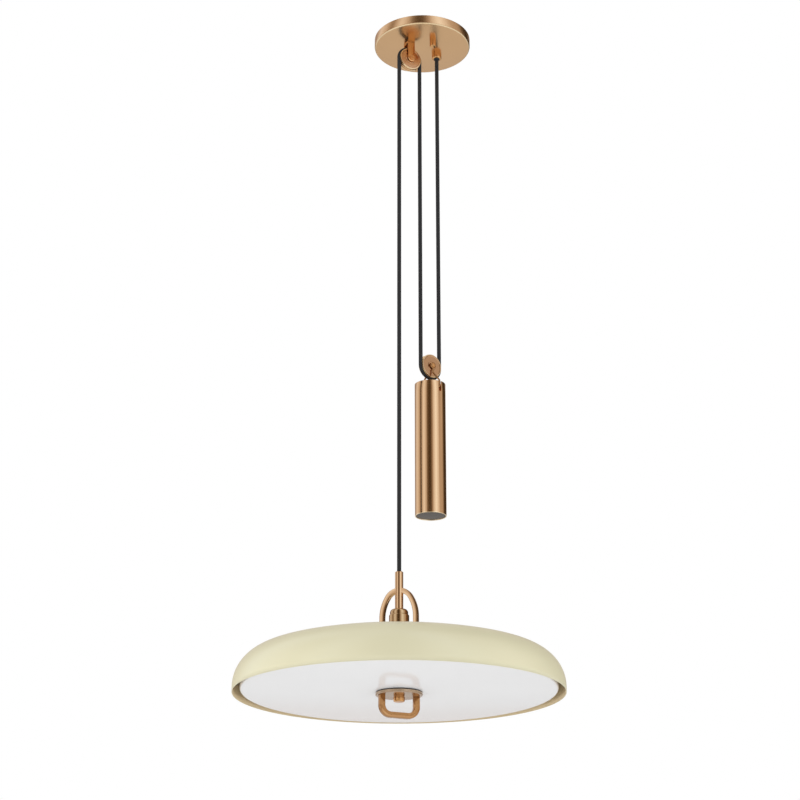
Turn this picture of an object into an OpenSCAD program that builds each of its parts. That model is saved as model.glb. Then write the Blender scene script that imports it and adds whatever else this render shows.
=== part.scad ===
// Rise and fall pendant lamp. One cord starts at an anchor under the canopy, runs down round the
// pulley of a counterweight, up over a fixed pulley and down to the lamp, so that the weight
// moves half as far as the lamp, the other way.
// Millimetres, +Z up. The origin is the centre of the canopy's face on the ceiling.

/* [Canopy] */
// Diameter of the canopy
canopy_d = 165; // [150:1:190]
// Height of the canopy
canopy_h = 16; // [14:0.5:22]
// Wall of the spun canopy
canopy_wall = 1.2; // [0.8:0.1:1.6]
// Radius of the canopy's lower edge
canopy_edge_r = 3; // [1:0.1:5]

/* [Ceiling strap] */
// Length of the strap across the ceiling box
strap_l = 112; // [108:1:124]
// Width of the strap
strap_w = 20; // [16:0.5:24]
// Thickness of the strap
strap_t = 2; // [1.5:0.1:3]
// Distance between the two slots for the box screws
slot_spacing = 88.9; // [88:0.1:92]
// Width of a slot
slot_w = 4.8; // [4.2:0.1:5.5]
// End to end length of a slot
slot_l = 9; // [7:0.5:9.5]
// Hole for the supply wires in the middle of the strap
wire_hole_d = 10; // [8:0.5:14]

/* [Canopy fixings] */
// Distance between the two canopy studs
stud_spacing = 72; // [68:0.5:73]
// Diameter of a canopy stud
stud_d = 4; // [3.5:0.5:5]
// Diameter of a barrel cap nut
cap_nut_d = 10.9; // [9:0.1:14]
// Length of a barrel cap nut
cap_nut_l = 14.5; // [10:0.5:20]
// How far a stud is screwed into its cap nut
stud_grip = 8; // [6:0.5:9]

/* [Pulleys] */
// Radius at which the middle of the cord runs on a sheave
pitch_r = 19.7; // [18:0.1:22]
// Outer diameter of a sheave
sheave_d = 38.6; // [37:0.1:42]
// Width of a sheave
sheave_w = 11; // [10:0.5:14]
// Diameter of both axles
axle_d = 5; // [4:0.1:6]
// Outer diameter of the plain bush in a sheave
bush_d = 9; // [8:0.1:12]
// Depth of the dished face of a sheave
sheave_dish = 0.6; // [0.2:0.1:1]
// Diameter of the raised hub on a sheave's face
sheave_hub_d = 15; // [12.5:0.5:18]

/* [Upper pulley yoke] */
// Turn of the whole line of pulleys, lamp and anchor about the vertical
line_turn = 5.6; // [0:0.1:10]
// Distance from the canopy's axis to the upper pulley
pulley_offset = 27.6; // [24:0.1:32]
// Turn of the upper pulley about the vertical
yoke_turn = -8; // [-20:0.1:-2]
// From the canopy down to the upper axle
yoke_drop = 31.7; // [30:0.1:50]
// Width of a cheek
cheek_w = 12.6; // [9:0.1:12.8]
// Thickness of a cheek
cheek_t = 2.4; // [2:0.1:3]
// Radius of the round eye of a cheek
cheek_eye_r = 6.5; // [6:0.1:8]
// Diameter of the yoke's threaded stem
yoke_stem_d = 8; // [6:0.5:10]
// Diameter of the screw head on the upper axle
axle_head_d = 8.6; // [7:0.1:10]
// Height of the screw head on the upper axle
axle_head_h = 2.2; // [1.5:0.1:3]

/* [Cord] */
// Diameter of the cord
cord_d = 6.6; // [5.5:0.1:7]
// From the upper axle down to the lamp's stem
lamp_cord_l = 910.4; // [880:0.1:1000]
// From the upper axle down to the lower axle
middle_cord_l = 558.4; // [400:0.1:580]
// Diameter of one insulated core in the cord
core_d = 1.9; // [1.5:0.1:2]

/* [Cord anchor] */
// Diameter of the anchor's body
anchor_d = 16.7; // [15.5:0.1:20]
// Height of the anchor's body
anchor_h = 10.1; // [9:0.1:24]
// Diameter of the anchor's threaded nipple
nipple_d = 10; // [9.5:0.1:12]
// Diameter of the black bush round the cord
anchor_bush_d = 11; // [10.5:0.1:13.5]
// How far the black bush stands out of the anchor
anchor_bush_out = 1.5; // [1:0.1:6]
// How far the black bush is let into the anchor
anchor_bush_in = 6; // [4:0.5:7]

/* [Counterweight] */
// Diameter of the weight's tube
weight_d = 50; // [46:0.5:54]
// Length of the weight's tube
weight_l = 221.9; // [160:0.1:225]
// Wall of the weight's tube
weight_wall = 1.5; // [1:0.1:2]
// From the lower axle down to the weight's top
weight_drop = 31.6; // [31:0.1:42]
// Depth of the core's top under the tube's rim
core_recess = 4; // [2:0.5:6]
// Thickness of the disc that closes the tube
base_h = 4; // [3:0.5:6]
// Depth of the closing disc inside the rim
base_recess = 0.8; // [0.4:0.1:1.5]
// Width of the notch that a bail leg drops into
notch_w = 5; // [4.5:0.1:6]
// Depth of the notch
notch_l = 17.5; // [13:0.5:18]

/* [Bail] */
// Diameter of the bail's wire
bail_wire_d = 2.8; // [2.4:0.1:3]
// Radius of a bend, at the middle of the wire
bail_bend_r = 4; // [3.5:0.1:5]
// Straight wire under the eye
bail_neck = 8.5; // [6:0.5:9]
// Angle of the sloping part from the vertical
bail_angle = 42; // [40:1:56]
// Length of the end that hooks into the core
bail_hook_l = 6; // [4:0.5:8]
// Depth of the hook under the weight's top
bail_hook_depth = 10; // [9.5:0.1:11]

/* [Stem, cap and cup] */
// Diameter of the stem
stem_d = 12.7; // [12.2:0.1:14]
// From the stem's top down to the cap
stem_l = 59.2; // [54:0.1:70]
// Bevel round the stem's top
stem_bevel = 0.8; // [0.3:0.1:1]
// Length of the cord grip in the stem
grip_l = 14; // [10:0.5:20]
// Diameter of the rounded cap
cap_d = 28; // [25:0.5:29]
// Height of the rounded cap
cap_h = 8.5; // [7:0.5:10]
// Radius of the cap's shoulder
cap_round = 5.5; // [4:0.1:6]
// Diameter of the cup
cup_d = 31; // [30:0.5:34]
// Height of the cup
cup_h = 31.7; // [24:0.1:34]
// Radius of the cup's shoulder
cup_round = 2; // [1:0.1:3]
// Wall of the cap and of the cup
cup_wall = 1.2; // [0.8:0.1:1.4]
// How far the lamp's nipple is screwed into the stem
nipple_grip = 12; // [8:0.5:18]

/* [Arch] */
// Outer width of the arch over the cup
arch_w = 62.4; // [59:0.1:68]
// Side of the arch's square bar
bar = 7.6; // [7:0.1:8]
// Height of the rounded part of the arch, at the middle of the bar
arch_rise = 42; // [36:0.5:48]
// Radius of the arch's long side curves, at the middle of the bar
arch_side_r = 60; // [54:0.5:80]
// Top of the arch, under the top of the stem
arch_drop = 25.1; // [22:0.1:27]
// Turn of the arch about the vertical
arch_turn = -55.6; // [-66:0.1:-46]

/* [Shade] */
// Diameter of the shade at its rim
shade_d = 505; // [480:1:540]
// Height of the upright wall over the rim
shade_wall_h = 8.4; // [5:0.1:20]
// Radius of the rounded corner
shade_corner_r = 57; // [46:0.5:62]
// Angle that the corner turns through before the dome starts
shade_corner_sweep = 75; // [72:1:78]
// Thickness of the spun metal
shade_t = 1; // [0.8:0.1:1.4]

/* [Light engine] */
// Diameter of the lamp plate
plate_d = 330; // [300:1:360]
// Thickness of the lamp plate
plate_t = 1.2; // [1:0.1:2.5]
// Height of the lamp plate's underside over the rim
plate_up = 46; // [40:0.5:50]
// Outer diameter of the light board
board_d = 300; // [280:1:320]
// Hole in the light board
board_hole_d = 110; // [90:1:120]
// Thickness of the light board
board_t = 1.6; // [1:0.1:2]
// Side of one light source
led_side = 5; // [3:0.5:6]
// Number of rings of light sources
led_rings = 3; // [2:1:3]
// Light sources in the inner ring
led_count = 12; // [8:1:12]
// Length of the driver
driver_l = 100; // [80:1:120]
// Width of the driver
driver_w = 34; // [28:1:40]
// Height of the driver
driver_h = 19; // [16:0.5:20]
// From the lamp's axis to the driver's near end
driver_offset = 26; // [24:0.5:34]
// Reach of the inner bracket to each side
bracket_reach = 40; // [34:1:50]
// Width of the inner bracket
bracket_w = 20; // [16:0.5:24]
// Thickness of the inner bracket
bracket_t = 2.5; // [2:0.1:3]
// Length of a foot of the inner bracket
bracket_foot = 14; // [12:0.5:18]

/* [Diffuser] */
// Gap between the diffuser and the shade
diffuser_gap = 11; // [4:0.1:20]
// Height of the diffuser's underside over the rim
diffuser_up = 3.3; // [0:0.1:6]
// Thickness of the diffuser
diffuser_t = 2.5; // [2:0.1:4]
// Height of the diffuser's turned up edge
diffuser_lip = 12; // [8:0.5:16]
// Radius of the diffuser's outer corner
diffuser_round = 3; // [2.6:0.1:5]
// Diameter of the seat over the diffuser
seat_d = 60; // [50:1:64]
// Thickness of the seat and of the washers
washer_t = 2; // [1.5:0.1:2.5]
// Diameter of the post that carries the diffuser
post_d = 8; // [6:0.5:9]

/* [Cover, handle and finial] */
// Diameter of the cover
cover_d = 71.6; // [70:0.1:78]
// Depth of the cover
cover_h = 4.2; // [4:0.1:8]
// Radius of the cover's lower edge
cover_round = 1.8; // [1.3:0.1:2]
// Wall of the cover
cover_wall = 1.2; // [0.8:0.1:1.2]
// Soft washer between the diffuser and the cover
soft_washer_t = 1.3; // [1:0.1:3]
// Side of the handle's square bar
handle_bar = 8.5; // [7:0.1:9]
// Outer width of the handle
handle_w = 66; // [58:0.1:67]
// Height of the handle
handle_h = 33.7; // [30:0.1:44]
// Outer radius of the handle's corners
handle_corner_r = 18.5; // [14:0.1:20]
// Turn of the handle about the vertical
handle_turn = -10.6; // [-21:0.1:0]
// Diameter of the finial's neck
finial_neck_d = 15.3; // [13:0.1:16]
// Height of the finial's neck
finial_neck_h = 1; // [0.5:0.1:6]
// Diameter of the finial's knob
finial_d = 17.2; // [17:0.1:22]
// Height of the finial's knob
finial_h = 8.2; // [5.5:0.1:9]
// Radius round the bottom of the knob
finial_round = 2.2; // [1:0.1:3]

/* [Small screws and clearances] */
// Diameter of the small screws
screw_d = 4; // [3:0.1:4.5]
// Diameter of a small screw's head
screw_head_d = 7; // [6:0.1:7.5]
// Height of a small screw's head
screw_head_h = 2.2; // [1.8:0.1:2.6]
// How deep a small screw goes into a square bar
screw_grip = 12; // [8:0.5:16]
// Gap round a part that is screwed, pressed or passed through
fit = 0.1; // [0.05:0.01:0.2]
// Gap between an axle and its bush
running = 0.05; // [0.02:0.01:0.08]
// Gap between the cord and a sheave
cord_gap = 0.35; // [0.3:0.05:0.5]
// Gap between a sheave and what stands beside it
side_gap = 0.8; // [0.4:0.1:1.2]
// Gap between the cord's run to the lamp and its end in the stem
cord_end_gap = 0.05; // [0.02:0.01:0.1]

/* [Hidden] */
$fn = 72;
// How far a cutting shape reaches past what it cuts, and a joined shape into its neighbour
cut = 1;
seam = 0.1;
// Flat steps in a rounded corner
steps = 8;
// How far a thread stands out of its nut, and how much deeper a hole is drilled than its screw
thread_out = 0.5;
drill_spare = 0.5;
brass = [0.78, 0.58, 0.36];
steel = [0.66, 0.67, 0.69];
black = [0.16, 0.16, 0.16];
white = [0.93, 0.93, 0.93];
cream = [0.87, 0.85, 0.70];

// Where the four runs of cord hang, seen from above, with X along the line of the pulleys
upper_x = -pulley_offset;
lamp_x = upper_x - pitch_r * cos(yoke_turn);
lamp_y = -pitch_r * sin(yoke_turn);
middle_x = upper_x + pitch_r * cos(yoke_turn);
middle_y = pitch_r * sin(yoke_turn);
anchor_x = middle_x + sqrt(pow(2 * pitch_r, 2) - pow(middle_y, 2));
weight_x = (middle_x + anchor_x) / 2;
weight_y = middle_y / 2;
lower_turn = atan2(-middle_y, anchor_x - middle_x);

// Heights, from the ceiling down
upper_z = -canopy_h - yoke_drop;
lower_z = upper_z - middle_cord_l;
weight_top = lower_z - weight_drop;
weight_bottom = weight_top - weight_l;
stem_top = upper_z - lamp_cord_l;
cap_top = stem_top - stem_l;
cup_top = cap_top - cap_h;
shade_top = cup_top - cup_h;

// Canopy and cord anchor
canopy_floor = -canopy_h + canopy_wall;
nut_h = 4.5;
nipple_top = canopy_floor + nut_h + thread_out;
nipple_flats = nipple_d + 4;
yoke_stem_flats = yoke_stem_d + 5;
cap_nut_round = 1;
anchor_low = -canopy_h - anchor_h;
bush_low = anchor_low - anchor_bush_out;
block_l = 16;
block_w = 30;
block_h = 9;
block_x = anchor_x + nipple_flats / 2 + 12;
block_pitch = 9;
block_screw_l = 1.6;
block_screw_sunk = 0.4;
lead_bend_r = 3;
lead_rise = 4.5;
lead_pitch = core_d + 0.3;
lead_sides = 8;

// Pulleys
groove_r = cord_d / 2 + cord_gap;
root_r = pitch_r - groove_r;
cheek_in = sheave_w / 2 + side_gap;
cheek_out = cheek_in + cheek_t;
axle_nut_h = 4;
axle_nut_flats = axle_d + 3;
head_slot_w = 1;
head_slot_depth = 0.9;
sheave_rim = 2;
press = fit / 5;
eye_r = axle_d / 2 + fit + bail_wire_d / 2;
eye_y = sheave_w / 2 + side_gap + bail_wire_d / 2;
eye_sink = bail_wire_d / 5;
axle_cap_h = 1.2;
axle_cap_d = axle_d + 2;

// Counterweight and bail
weight_bore = weight_d - 2 * weight_wall;
core_top = weight_top - core_recess;
base_top = weight_bottom + base_recess + base_h;
leg_y = (weight_d - bail_wire_d) / 2;
neck_low = lower_z - eye_r - bail_neck;
slope_low = neck_low - (leg_y - eye_y) / tan(bail_angle);
hook_z = weight_top - bail_hook_depth;

// Arch: a crown arc between two side arcs that run tangent into it, on straight legs
arch_leg = (arch_w - bar) / 2;
arch_top = stem_top - arch_drop;
arch_base_z = arch_top - bar / 2 - arch_rise;
crown_up = (pow(arch_side_r - arch_leg, 2) - pow(arch_side_r - arch_rise, 2)) / (2 * (arch_side_r - arch_rise));
crown_r = arch_rise - crown_up;
crown_from = atan2(crown_up, arch_side_r - arch_leg);
crown_step = (90 - crown_from) / steps;

// Shade: a spherical dome that runs tangent into the rounded corner and the upright wall
shade_r = shade_d / 2;
dome_angle = 90 - shade_corner_sweep;
dome_edge_r = shade_r - shade_corner_r * (1 - cos(shade_corner_sweep));
dome_r = dome_edge_r / sin(dome_angle);
shade_h = shade_wall_h + shade_corner_r * sin(shade_corner_sweep) + dome_r * (1 - cos(dome_angle));
rim_z = shade_top - shade_h;
dome_z = shade_top - dome_r;
dome_from = shade_corner_sweep + dome_angle / steps;
arch_foot = shade_top - dome_fall(arch_leg - bar / 2);

// Parts that hang inside the shade
nipple_bore = cord_d + 2 * fit;
washer_d = 34;
seat_gap = 0.15;
washer_top = shade_top - shade_t - dome_fall(washer_d / 2) - seat_gap;
bracket_top = washer_top - washer_t;
hub_nut_top = bracket_top - bracket_t;
hub_nipple_low = hub_nut_top - nut_h - 2 * thread_out;
tail_low = hub_nipple_low - cord_d / 3;
plate_low = rim_z + plate_up;
plate_top = plate_low + plate_t;
board_low = plate_low - board_t;
led_h = 1;
driver_lead_z = plate_top + 0.75 * driver_h;
post_head_h = 3;
post_flats = post_d + 5;
diffuser_d = shade_d - 2 * (shade_t + diffuser_gap);
diffuser_low = rim_z + diffuser_up;
diffuser_top = diffuser_low + diffuser_t;

// Handle, cover and finial
cover_top = diffuser_low - soft_washer_t;
cover_low = cover_top - cover_h;
leg_offset = (handle_w - handle_bar) / 2;
finial_top = cover_low - finial_neck_h;
finial_low = finial_top - finial_h;
post_low = finial_top - finial_h / 2;
finial_bevel = 0.6;

// ---- Shared shapes ----

// Points along an arc, in the plane of a profile
function arc(x, z, r, from, to) =
    [for (i = [0:steps]) let (a = from + (to - from) * i / steps) [x + r * cos(a), z + r * sin(a)]];

function reversed(points) = [for (i = [len(points) - 1:-1:0]) points[i]];

function unit(v) = v / norm(v);

// Arc of radius r that rounds the corner b between a and c
function bend(a, b, c, r) =
    let (back = unit(a - b), on = unit(c - b), half = acos(back * on) / 2,
         centre = b + unit(back + on) * r / sin(half), first = unit(b + back * r / tan(half) - centre))
    [for (i = [0:steps]) let (turn = (180 - 2 * half) * i / steps) centre + r * (cos(turn) * first - sin(turn) * back)];

// Route through the corner points p with every inner corner rounded to the radius r
function bent(p, r) =
    concat([p[0]], [for (i = [1:len(p) - 2]) each bend(p[i - 1], p[i], p[i + 1], r)], [p[len(p) - 1]]);

// Direction of a route at its point i, and the side direction carried along it without twist
function along(p, i) = unit(p[min(i + 1, len(p) - 1)] - p[max(i - 1, 0)]);
function carried(p, side, i = 0) =
    let (t = along(p, i), s = unit(side - (side * t) * t))
    i == len(p) - 1 ? [s] : concat([s], carried(p, s, i + 1));

// How far the dome has fallen below its top at a distance r from the lamp's axis
function dome_fall(r) = dome_r - sqrt(dome_r * dome_r - r * r);

// Places on the line of pulleys, lamp and anchor, which is turned about the canopy's axis
module on_line() rotate([0, 0, line_turn]) children();
module at_yoke() on_line() translate([upper_x, 0, 0]) rotate([0, 0, yoke_turn]) children();
module at_upper() at_yoke() translate([0, 0, upper_z]) children();
module at_weight() on_line() translate([weight_x, weight_y, 0]) rotate([0, 0, lower_turn]) children();
module at_lower() at_weight() translate([0, 0, lower_z]) children();
module at_lamp(turn = 0) on_line() translate([lamp_x, lamp_y, 0]) rotate([0, 0, turn]) children();
module at_anchor() on_line() translate([anchor_x, 0, 0]) children();

// Upright round bar or tube whose top is at the height top
module tube(top, h, d, bore = 0) {
    translate([0, 0, top - h]) difference() {
        cylinder(h = h, d = d);
        if (bore > 0) translate([0, 0, -cut]) cylinder(h = h + 2 * cut, d = bore);
    }
}

module hex_nut(top, h, flats, bore) {
    translate([0, 0, top - h]) difference() {
        cylinder(h = h, d = flats / cos(30), $fn = 6);
        translate([0, 0, -cut]) cylinder(h = h + 2 * cut, d = bore);
    }
}

// Round bar along Y, from y to y + l
module cross_bar(y, l, d) translate([0, y, 0]) rotate([-90, 0, 0]) cylinder(h = l, d = d);

// Small pan head screw: the head stands on top, and the shank goes down
module screw(top, shank_l) {
    translate([0, 0, top]) cylinder(h = screw_head_h, d = screw_head_d);
    translate([0, 0, top - shank_l]) cylinder(h = shank_l + cut / 2, d = screw_d);
}

// Solid wire along a route of points; across is any direction square to its start
module wire(route, d, across, sides = 12) {
    n = len(route);
    side_way = carried(route, unit(across));
    ring = [for (i = [0:n - 1], k = [0:sides - 1]) let (a = 360 * k / sides, up = cross(along(route, i), side_way[i]))
        route[i] + d / 2 * (cos(a) * side_way[i] + sin(a) * up)];
    polyhedron(ring, concat(
        [[for (k = [0:sides - 1]) k], [for (k = [1:sides]) n * sides - k]],
        [for (i = [0:n - 2], k = [0:sides - 1], half = [0, 1]) let (a = i * sides + k, b = i * sides + (k + 1) % sides)
            half == 0 ? [a, a + sides, b] : [b, a + sides, b + sides]]));
}

// Half turn of cord round a sheave, over the top
module half_turn() rotate([90, 0, 0])
    rotate_extrude(angle = 180) translate([pitch_r, 0]) circle(d = cord_d);

// Sheave with a round-bottomed groove, dished faces and a bore for its bush
module sheave() rotate([90, 0, 0]) rotate_extrude() difference() {
    translate([bush_d / 2 + press, -sheave_w / 2]) square([(sheave_d - bush_d) / 2 - press, sheave_w]);
    translate([pitch_r, 0]) circle(r = groove_r);
    translate([pitch_r, -groove_r]) square([sheave_d, 2 * groove_r]);
    for (side = [-1, 1]) translate([sheave_hub_d / 2, side * sheave_w / 2 - sheave_dish])
        square([(sheave_d - sheave_hub_d) / 2 - sheave_rim, 2 * sheave_dish]);
}

module plain_bush() rotate([90, 0, 0]) translate([0, 0, -sheave_w / 2]) difference() {
    cylinder(h = sheave_w, d = bush_d);
    translate([0, 0, -cut]) cylinder(h = sheave_w + 2 * cut, d = axle_d + 2 * running);
}

// ---- Canopy and what it holds ----

module canopy() color(brass) difference() {
    rotate_extrude() polygon(concat(
        [[0, -canopy_h]],
        arc(canopy_d / 2 - canopy_edge_r, canopy_edge_r - canopy_h, canopy_edge_r, -90, 0),
        [[canopy_d / 2, 0], [canopy_d / 2 - canopy_wall, 0],
         [canopy_d / 2 - canopy_wall, canopy_floor], [0, canopy_floor]]));
    for (side = [-1, 1]) translate([0, side * stud_spacing / 2, 0])
        tube(0, canopy_h + cut, stud_d + 2 * fit);
    at_yoke() tube(0, canopy_h + cut, yoke_stem_d + 2 * fit);
    at_anchor() tube(0, canopy_h + cut, nipple_d + 2 * fit);
}

module mounting_strap() color(steel) difference() {
    translate([-strap_w / 2, -strap_l / 2, -strap_t]) cube([strap_w, strap_l, strap_t]);
    tube(cut, strap_t + 2 * cut, wire_hole_d);
    for (side = [-1, 1]) {
        translate([0, side * stud_spacing / 2, 0]) tube(cut, strap_t + 2 * cut, stud_d + fit);
        translate([0, side * slot_spacing / 2, 0]) {
            for (end = [-1, 1]) translate([0, end * (slot_l - slot_w) / 2, 0])
                tube(cut, strap_t + 2 * cut, slot_w);
            translate([-slot_w / 2, (slot_w - slot_l) / 2, -strap_t - cut])
                cube([slot_w, slot_l - slot_w, strap_t + 2 * cut]);
        }
    }
}

module canopy_studs() color(steel)
    for (side = [-1, 1]) translate([0, side * stud_spacing / 2, 0])
        tube(0, canopy_h + stud_grip, stud_d);

module cap_nuts() color(brass)
    for (side = [-1, 1]) translate([0, side * stud_spacing / 2, -canopy_h]) difference() {
        rotate_extrude() polygon(concat(
            [[0, 0], [cap_nut_d / 2, 0]],
            arc(cap_nut_d / 2 - cap_nut_round, cap_nut_round - cap_nut_l, cap_nut_round, 0, -90), [[0, -cap_nut_l]]));
        tube(cut, stud_grip + cut + drill_spare, stud_d + fit);
    }

module pulley_yoke() color(brass) at_yoke() {
    tube(canopy_floor + nut_h + thread_out, canopy_wall + nut_h + thread_out + cheek_t / 2, yoke_stem_d);
    translate([-cheek_w / 2, -cheek_out, -canopy_h - cheek_t]) cube([cheek_w, 2 * cheek_out, cheek_t]);
    for (side = [-1, 1]) difference() {
        union() {
            translate([-cheek_w / 2, side > 0 ? cheek_in : -cheek_out, upper_z])
                cube([cheek_w, cheek_t, yoke_drop]);
            translate([0, 0, upper_z]) cross_bar(side > 0 ? cheek_in : -cheek_out, cheek_t, 2 * cheek_eye_r);
        }
        translate([0, 0, upper_z]) cross_bar(-cheek_out - cut, 2 * (cheek_out + cut), axle_d + 2 * fit);
    }
}

module yoke_nut() color(steel) at_yoke()
    hex_nut(canopy_floor + nut_h, nut_h, yoke_stem_flats, yoke_stem_d + fit);

// The head is on the -Y side, with a screwdriver slot
module upper_axle() color(brass) at_upper() difference() {
    union() {
        cross_bar(-cheek_out, 2 * cheek_out + axle_nut_h, axle_d);
        cross_bar(-cheek_out - axle_head_h, axle_head_h, axle_head_d);
    }
    translate([-axle_head_d, -cheek_out - axle_head_h - cut, -head_slot_w / 2])
        cube([2 * axle_head_d, cut + head_slot_depth, head_slot_w]);
}

module upper_axle_nut() color(brass) at_upper() rotate([-90, 0, 0])
    hex_nut(cheek_out + axle_nut_h, axle_nut_h, axle_nut_flats, axle_d + fit);

module upper_sheave() color(brass) at_upper() sheave();
module upper_bush() color([0.60, 0.45, 0.25]) at_upper() plain_bush();

module cord_anchor() color(brass) at_anchor() difference() {
    union() {
        tube(-canopy_h, anchor_h, anchor_d);
        tube(nipple_top, nipple_top + canopy_h + cut, nipple_d);
    }
    tube(cut, canopy_h + anchor_h + 2 * cut, cord_d + 2 * fit);
    tube(anchor_low + anchor_bush_in, anchor_bush_in + cut, anchor_bush_d + fit);
}

module anchor_nut() color(steel) at_anchor()
    hex_nut(canopy_floor + nut_h, nut_h, nipple_flats, nipple_d + fit);

module anchor_bush() color(black) at_anchor()
    tube(anchor_low + anchor_bush_in, anchor_bush_in + anchor_bush_out, anchor_bush_d, cord_d + 2 * fit);

module terminal_block() color(white) on_line() difference() {
    translate([block_x, -block_w / 2, canopy_floor]) cube([block_l, block_w, block_h]);
    for (i = [-1:1]) translate([block_x + block_l / 2, i * block_pitch, 0])
        tube(canopy_floor + block_h + cut, block_screw_sunk + block_screw_l + cut, screw_d + 2 * fit);
}

module terminal_screws() color(steel) on_line()
    for (i = [-1:1]) translate([block_x + block_l / 2, i * block_pitch, 0])
        tube(canopy_floor + block_h - block_screw_sunk, block_screw_l, screw_d);

// Three insulated cores that fan out from the cord's end to the terminal block
module anchor_leads() color(black) on_line() for (i = [-1:1]) {
    start = [anchor_x, i * lead_pitch, nipple_top];
    raised = start + [0, 0, lead_rise];
    seat = [block_x - core_d / 4, i * block_pitch, raised[2]];
    wire(bent([start, raised, seat], lead_bend_r), core_d, [0, 1, 0], lead_sides);
}

// ---- Cord ----

module cord_anchor_end() color(black) at_anchor() tube(nipple_top, nipple_top - bush_low, cord_d);
module cord_anchor_strand() color(black) at_anchor() tube(bush_low, bush_low - lower_z, cord_d);
module cord_lower_wrap() color(black) at_lower() mirror([0, 0, 1]) half_turn();
module cord_middle_strand() color(black) on_line() translate([middle_x, middle_y, 0])
    tube(upper_z, middle_cord_l, cord_d);
module cord_upper_wrap() color(black) at_upper() half_turn();
module cord_lamp_strand() color(black) at_lamp() tube(upper_z, lamp_cord_l, cord_d);
module cord_lamp_end() color(black) at_lamp()
    tube(stem_top - cord_end_gap, stem_top - cord_end_gap - tail_low, cord_d);

// ---- Counterweight ----

module weight_tube() color(brass) at_weight() difference() {
    tube(weight_top, weight_l, weight_d, weight_bore);
    for (side = [-1, 1]) {
        translate([0, side * weight_d / 2, weight_top - notch_l + notch_w / 2])
            cross_bar(-weight_d / 4, weight_d / 2, notch_w);
        translate([-notch_w / 2, side * weight_d / 2 - weight_d / 4, weight_top - notch_l + notch_w / 2])
            cube([notch_w, weight_d / 2, notch_l]);
    }
}

// Steel slug with a groove for each bail leg and a cross hole for their hooks
module weight_core() color(steel) at_weight() difference() {
    tube(core_top, core_top - base_top, weight_bore - 2 * fit);
    for (turn = [0, 180]) rotate([0, 0, turn]) translate([-notch_w / 2, leg_y - bail_bend_r, weight_top - notch_l])
        cube([notch_w, weight_d, notch_l]);
    translate([0, 0, weight_top - bail_hook_depth])
        cross_bar(-weight_d / 2, weight_d, bail_wire_d + 2 * fit);
}

module weight_base() color([0.42, 0.40, 0.38]) at_weight()
    tube(base_top, base_h, weight_bore - 2 * fit);

// Two legs of bent wire: an eye on the axle, a neck, a slope, a leg in the notch and a hook
module weight_bail() color(brass) for (side = [0, 180]) at_weight() rotate([0, 0, side]) {
    translate([0, eye_y, lower_z]) rotate([90, 0, 0])
        rotate_extrude() translate([eye_r, 0]) circle(d = bail_wire_d);
    wire(bent([[0, eye_y, lower_z - eye_r + eye_sink], [0, eye_y, neck_low], [0, leg_y, slope_low],
               [0, leg_y, hook_z], [0, leg_y - bail_hook_l - bail_bend_r, hook_z]], bail_bend_r),
        bail_wire_d, [1, 0, 0]);
}

module lower_axle() color(brass) at_lower()
    cross_bar(-eye_y - bail_wire_d / 2, 2 * eye_y + bail_wire_d, axle_d);

module axle_caps() color(brass) at_lower() for (side = [0, 180]) rotate([0, 0, side])
    cross_bar(eye_y + bail_wire_d / 2, axle_cap_h, axle_cap_d);

module lower_sheave() color(brass) at_lower() sheave();
module lower_bush() color([0.60, 0.45, 0.25]) at_lower() plain_bush();

// ---- Stem, cap, cup and arch ----

module stem() color(brass) at_lamp() difference() {
    rotate_extrude() polygon([
        [(nipple_d + 2 * fit) / 2, cap_top], [stem_d / 2, cap_top], [stem_d / 2, stem_top - stem_bevel],
        [stem_d / 2 - stem_bevel, stem_top], [(nipple_d + 2 * fit) / 2, stem_top]]);
    translate([0, 0, stem_top - grip_l / 2]) cross_bar(0, stem_d, screw_d + fit);
}

module cord_grip() color(black) at_lamp() tube(stem_top - thread_out, grip_l, nipple_d, cord_d + 2 * fit);

module grip_screw() color(steel) at_lamp() translate([0, 0, stem_top - grip_l / 2])
    cross_bar(nipple_d / 2 + fit, (stem_d - nipple_d) / 2 - 2 * fit, screw_d);

module cap() color(brass) at_lamp() rotate_extrude() polygon(concat(
    [[nipple_d / 2 + fit, cap_top]],
    arc(cap_d / 2 - cap_round, cap_top - cap_round, cap_round, 90, 0),
    [[cap_d / 2, cup_top], [cap_d / 2 - cup_wall, cup_top]],
    arc(cap_d / 2 - cap_round, cap_top - cap_round, cap_round - cup_wall, 0, 90),
    [[nipple_d / 2 + fit, cap_top - cup_wall]]));

module cup() color(brass) at_lamp() rotate_extrude() polygon(concat(
    [[nipple_d / 2 + fit, cup_top]],
    arc(cup_d / 2 - cup_round, cup_top - cup_round, cup_round, 90, 0),
    [[cup_d / 2, shade_top], [cup_d / 2 - cup_wall, shade_top]],
    arc(cup_d / 2 - cup_round, cup_top - cup_round, cup_round - cup_wall, 0, 90),
    [[nipple_d / 2 + fit, cup_top - cup_wall]]));

// One side of the arch's outline, out from the middle of the bar: leg, side arc and half the crown
function arch_side(out) = concat(
    [[arch_leg + out, arch_foot]],
    arc(arch_leg - arch_side_r, arch_base_z, arch_side_r + out, 0, crown_from),
    arc(0, arch_base_z + crown_up, crown_r + out, crown_from + crown_step, 90));

module arch_bar() rotate([90, 0, 0]) translate([0, 0, -bar / 2]) linear_extrude(bar)
    for (side = [0, 1]) mirror([side, 0]) polygon(concat(
        arch_side(bar / 2), [[-seam, arch_top], [-seam, arch_top - bar]], reversed(arch_side(-bar / 2))));

module arch() color(brass) at_lamp() difference() {
    rotate([0, 0, arch_turn]) arch_bar();
    tube(stem_top, stem_l, stem_d);
    rotate([0, 0, arch_turn]) for (side = [-1, 1]) translate([side * arch_leg, 0, 0])
        tube(arch_foot + screw_grip + drill_spare, screw_grip + drill_spare + cut, screw_d + fit);
}

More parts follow.
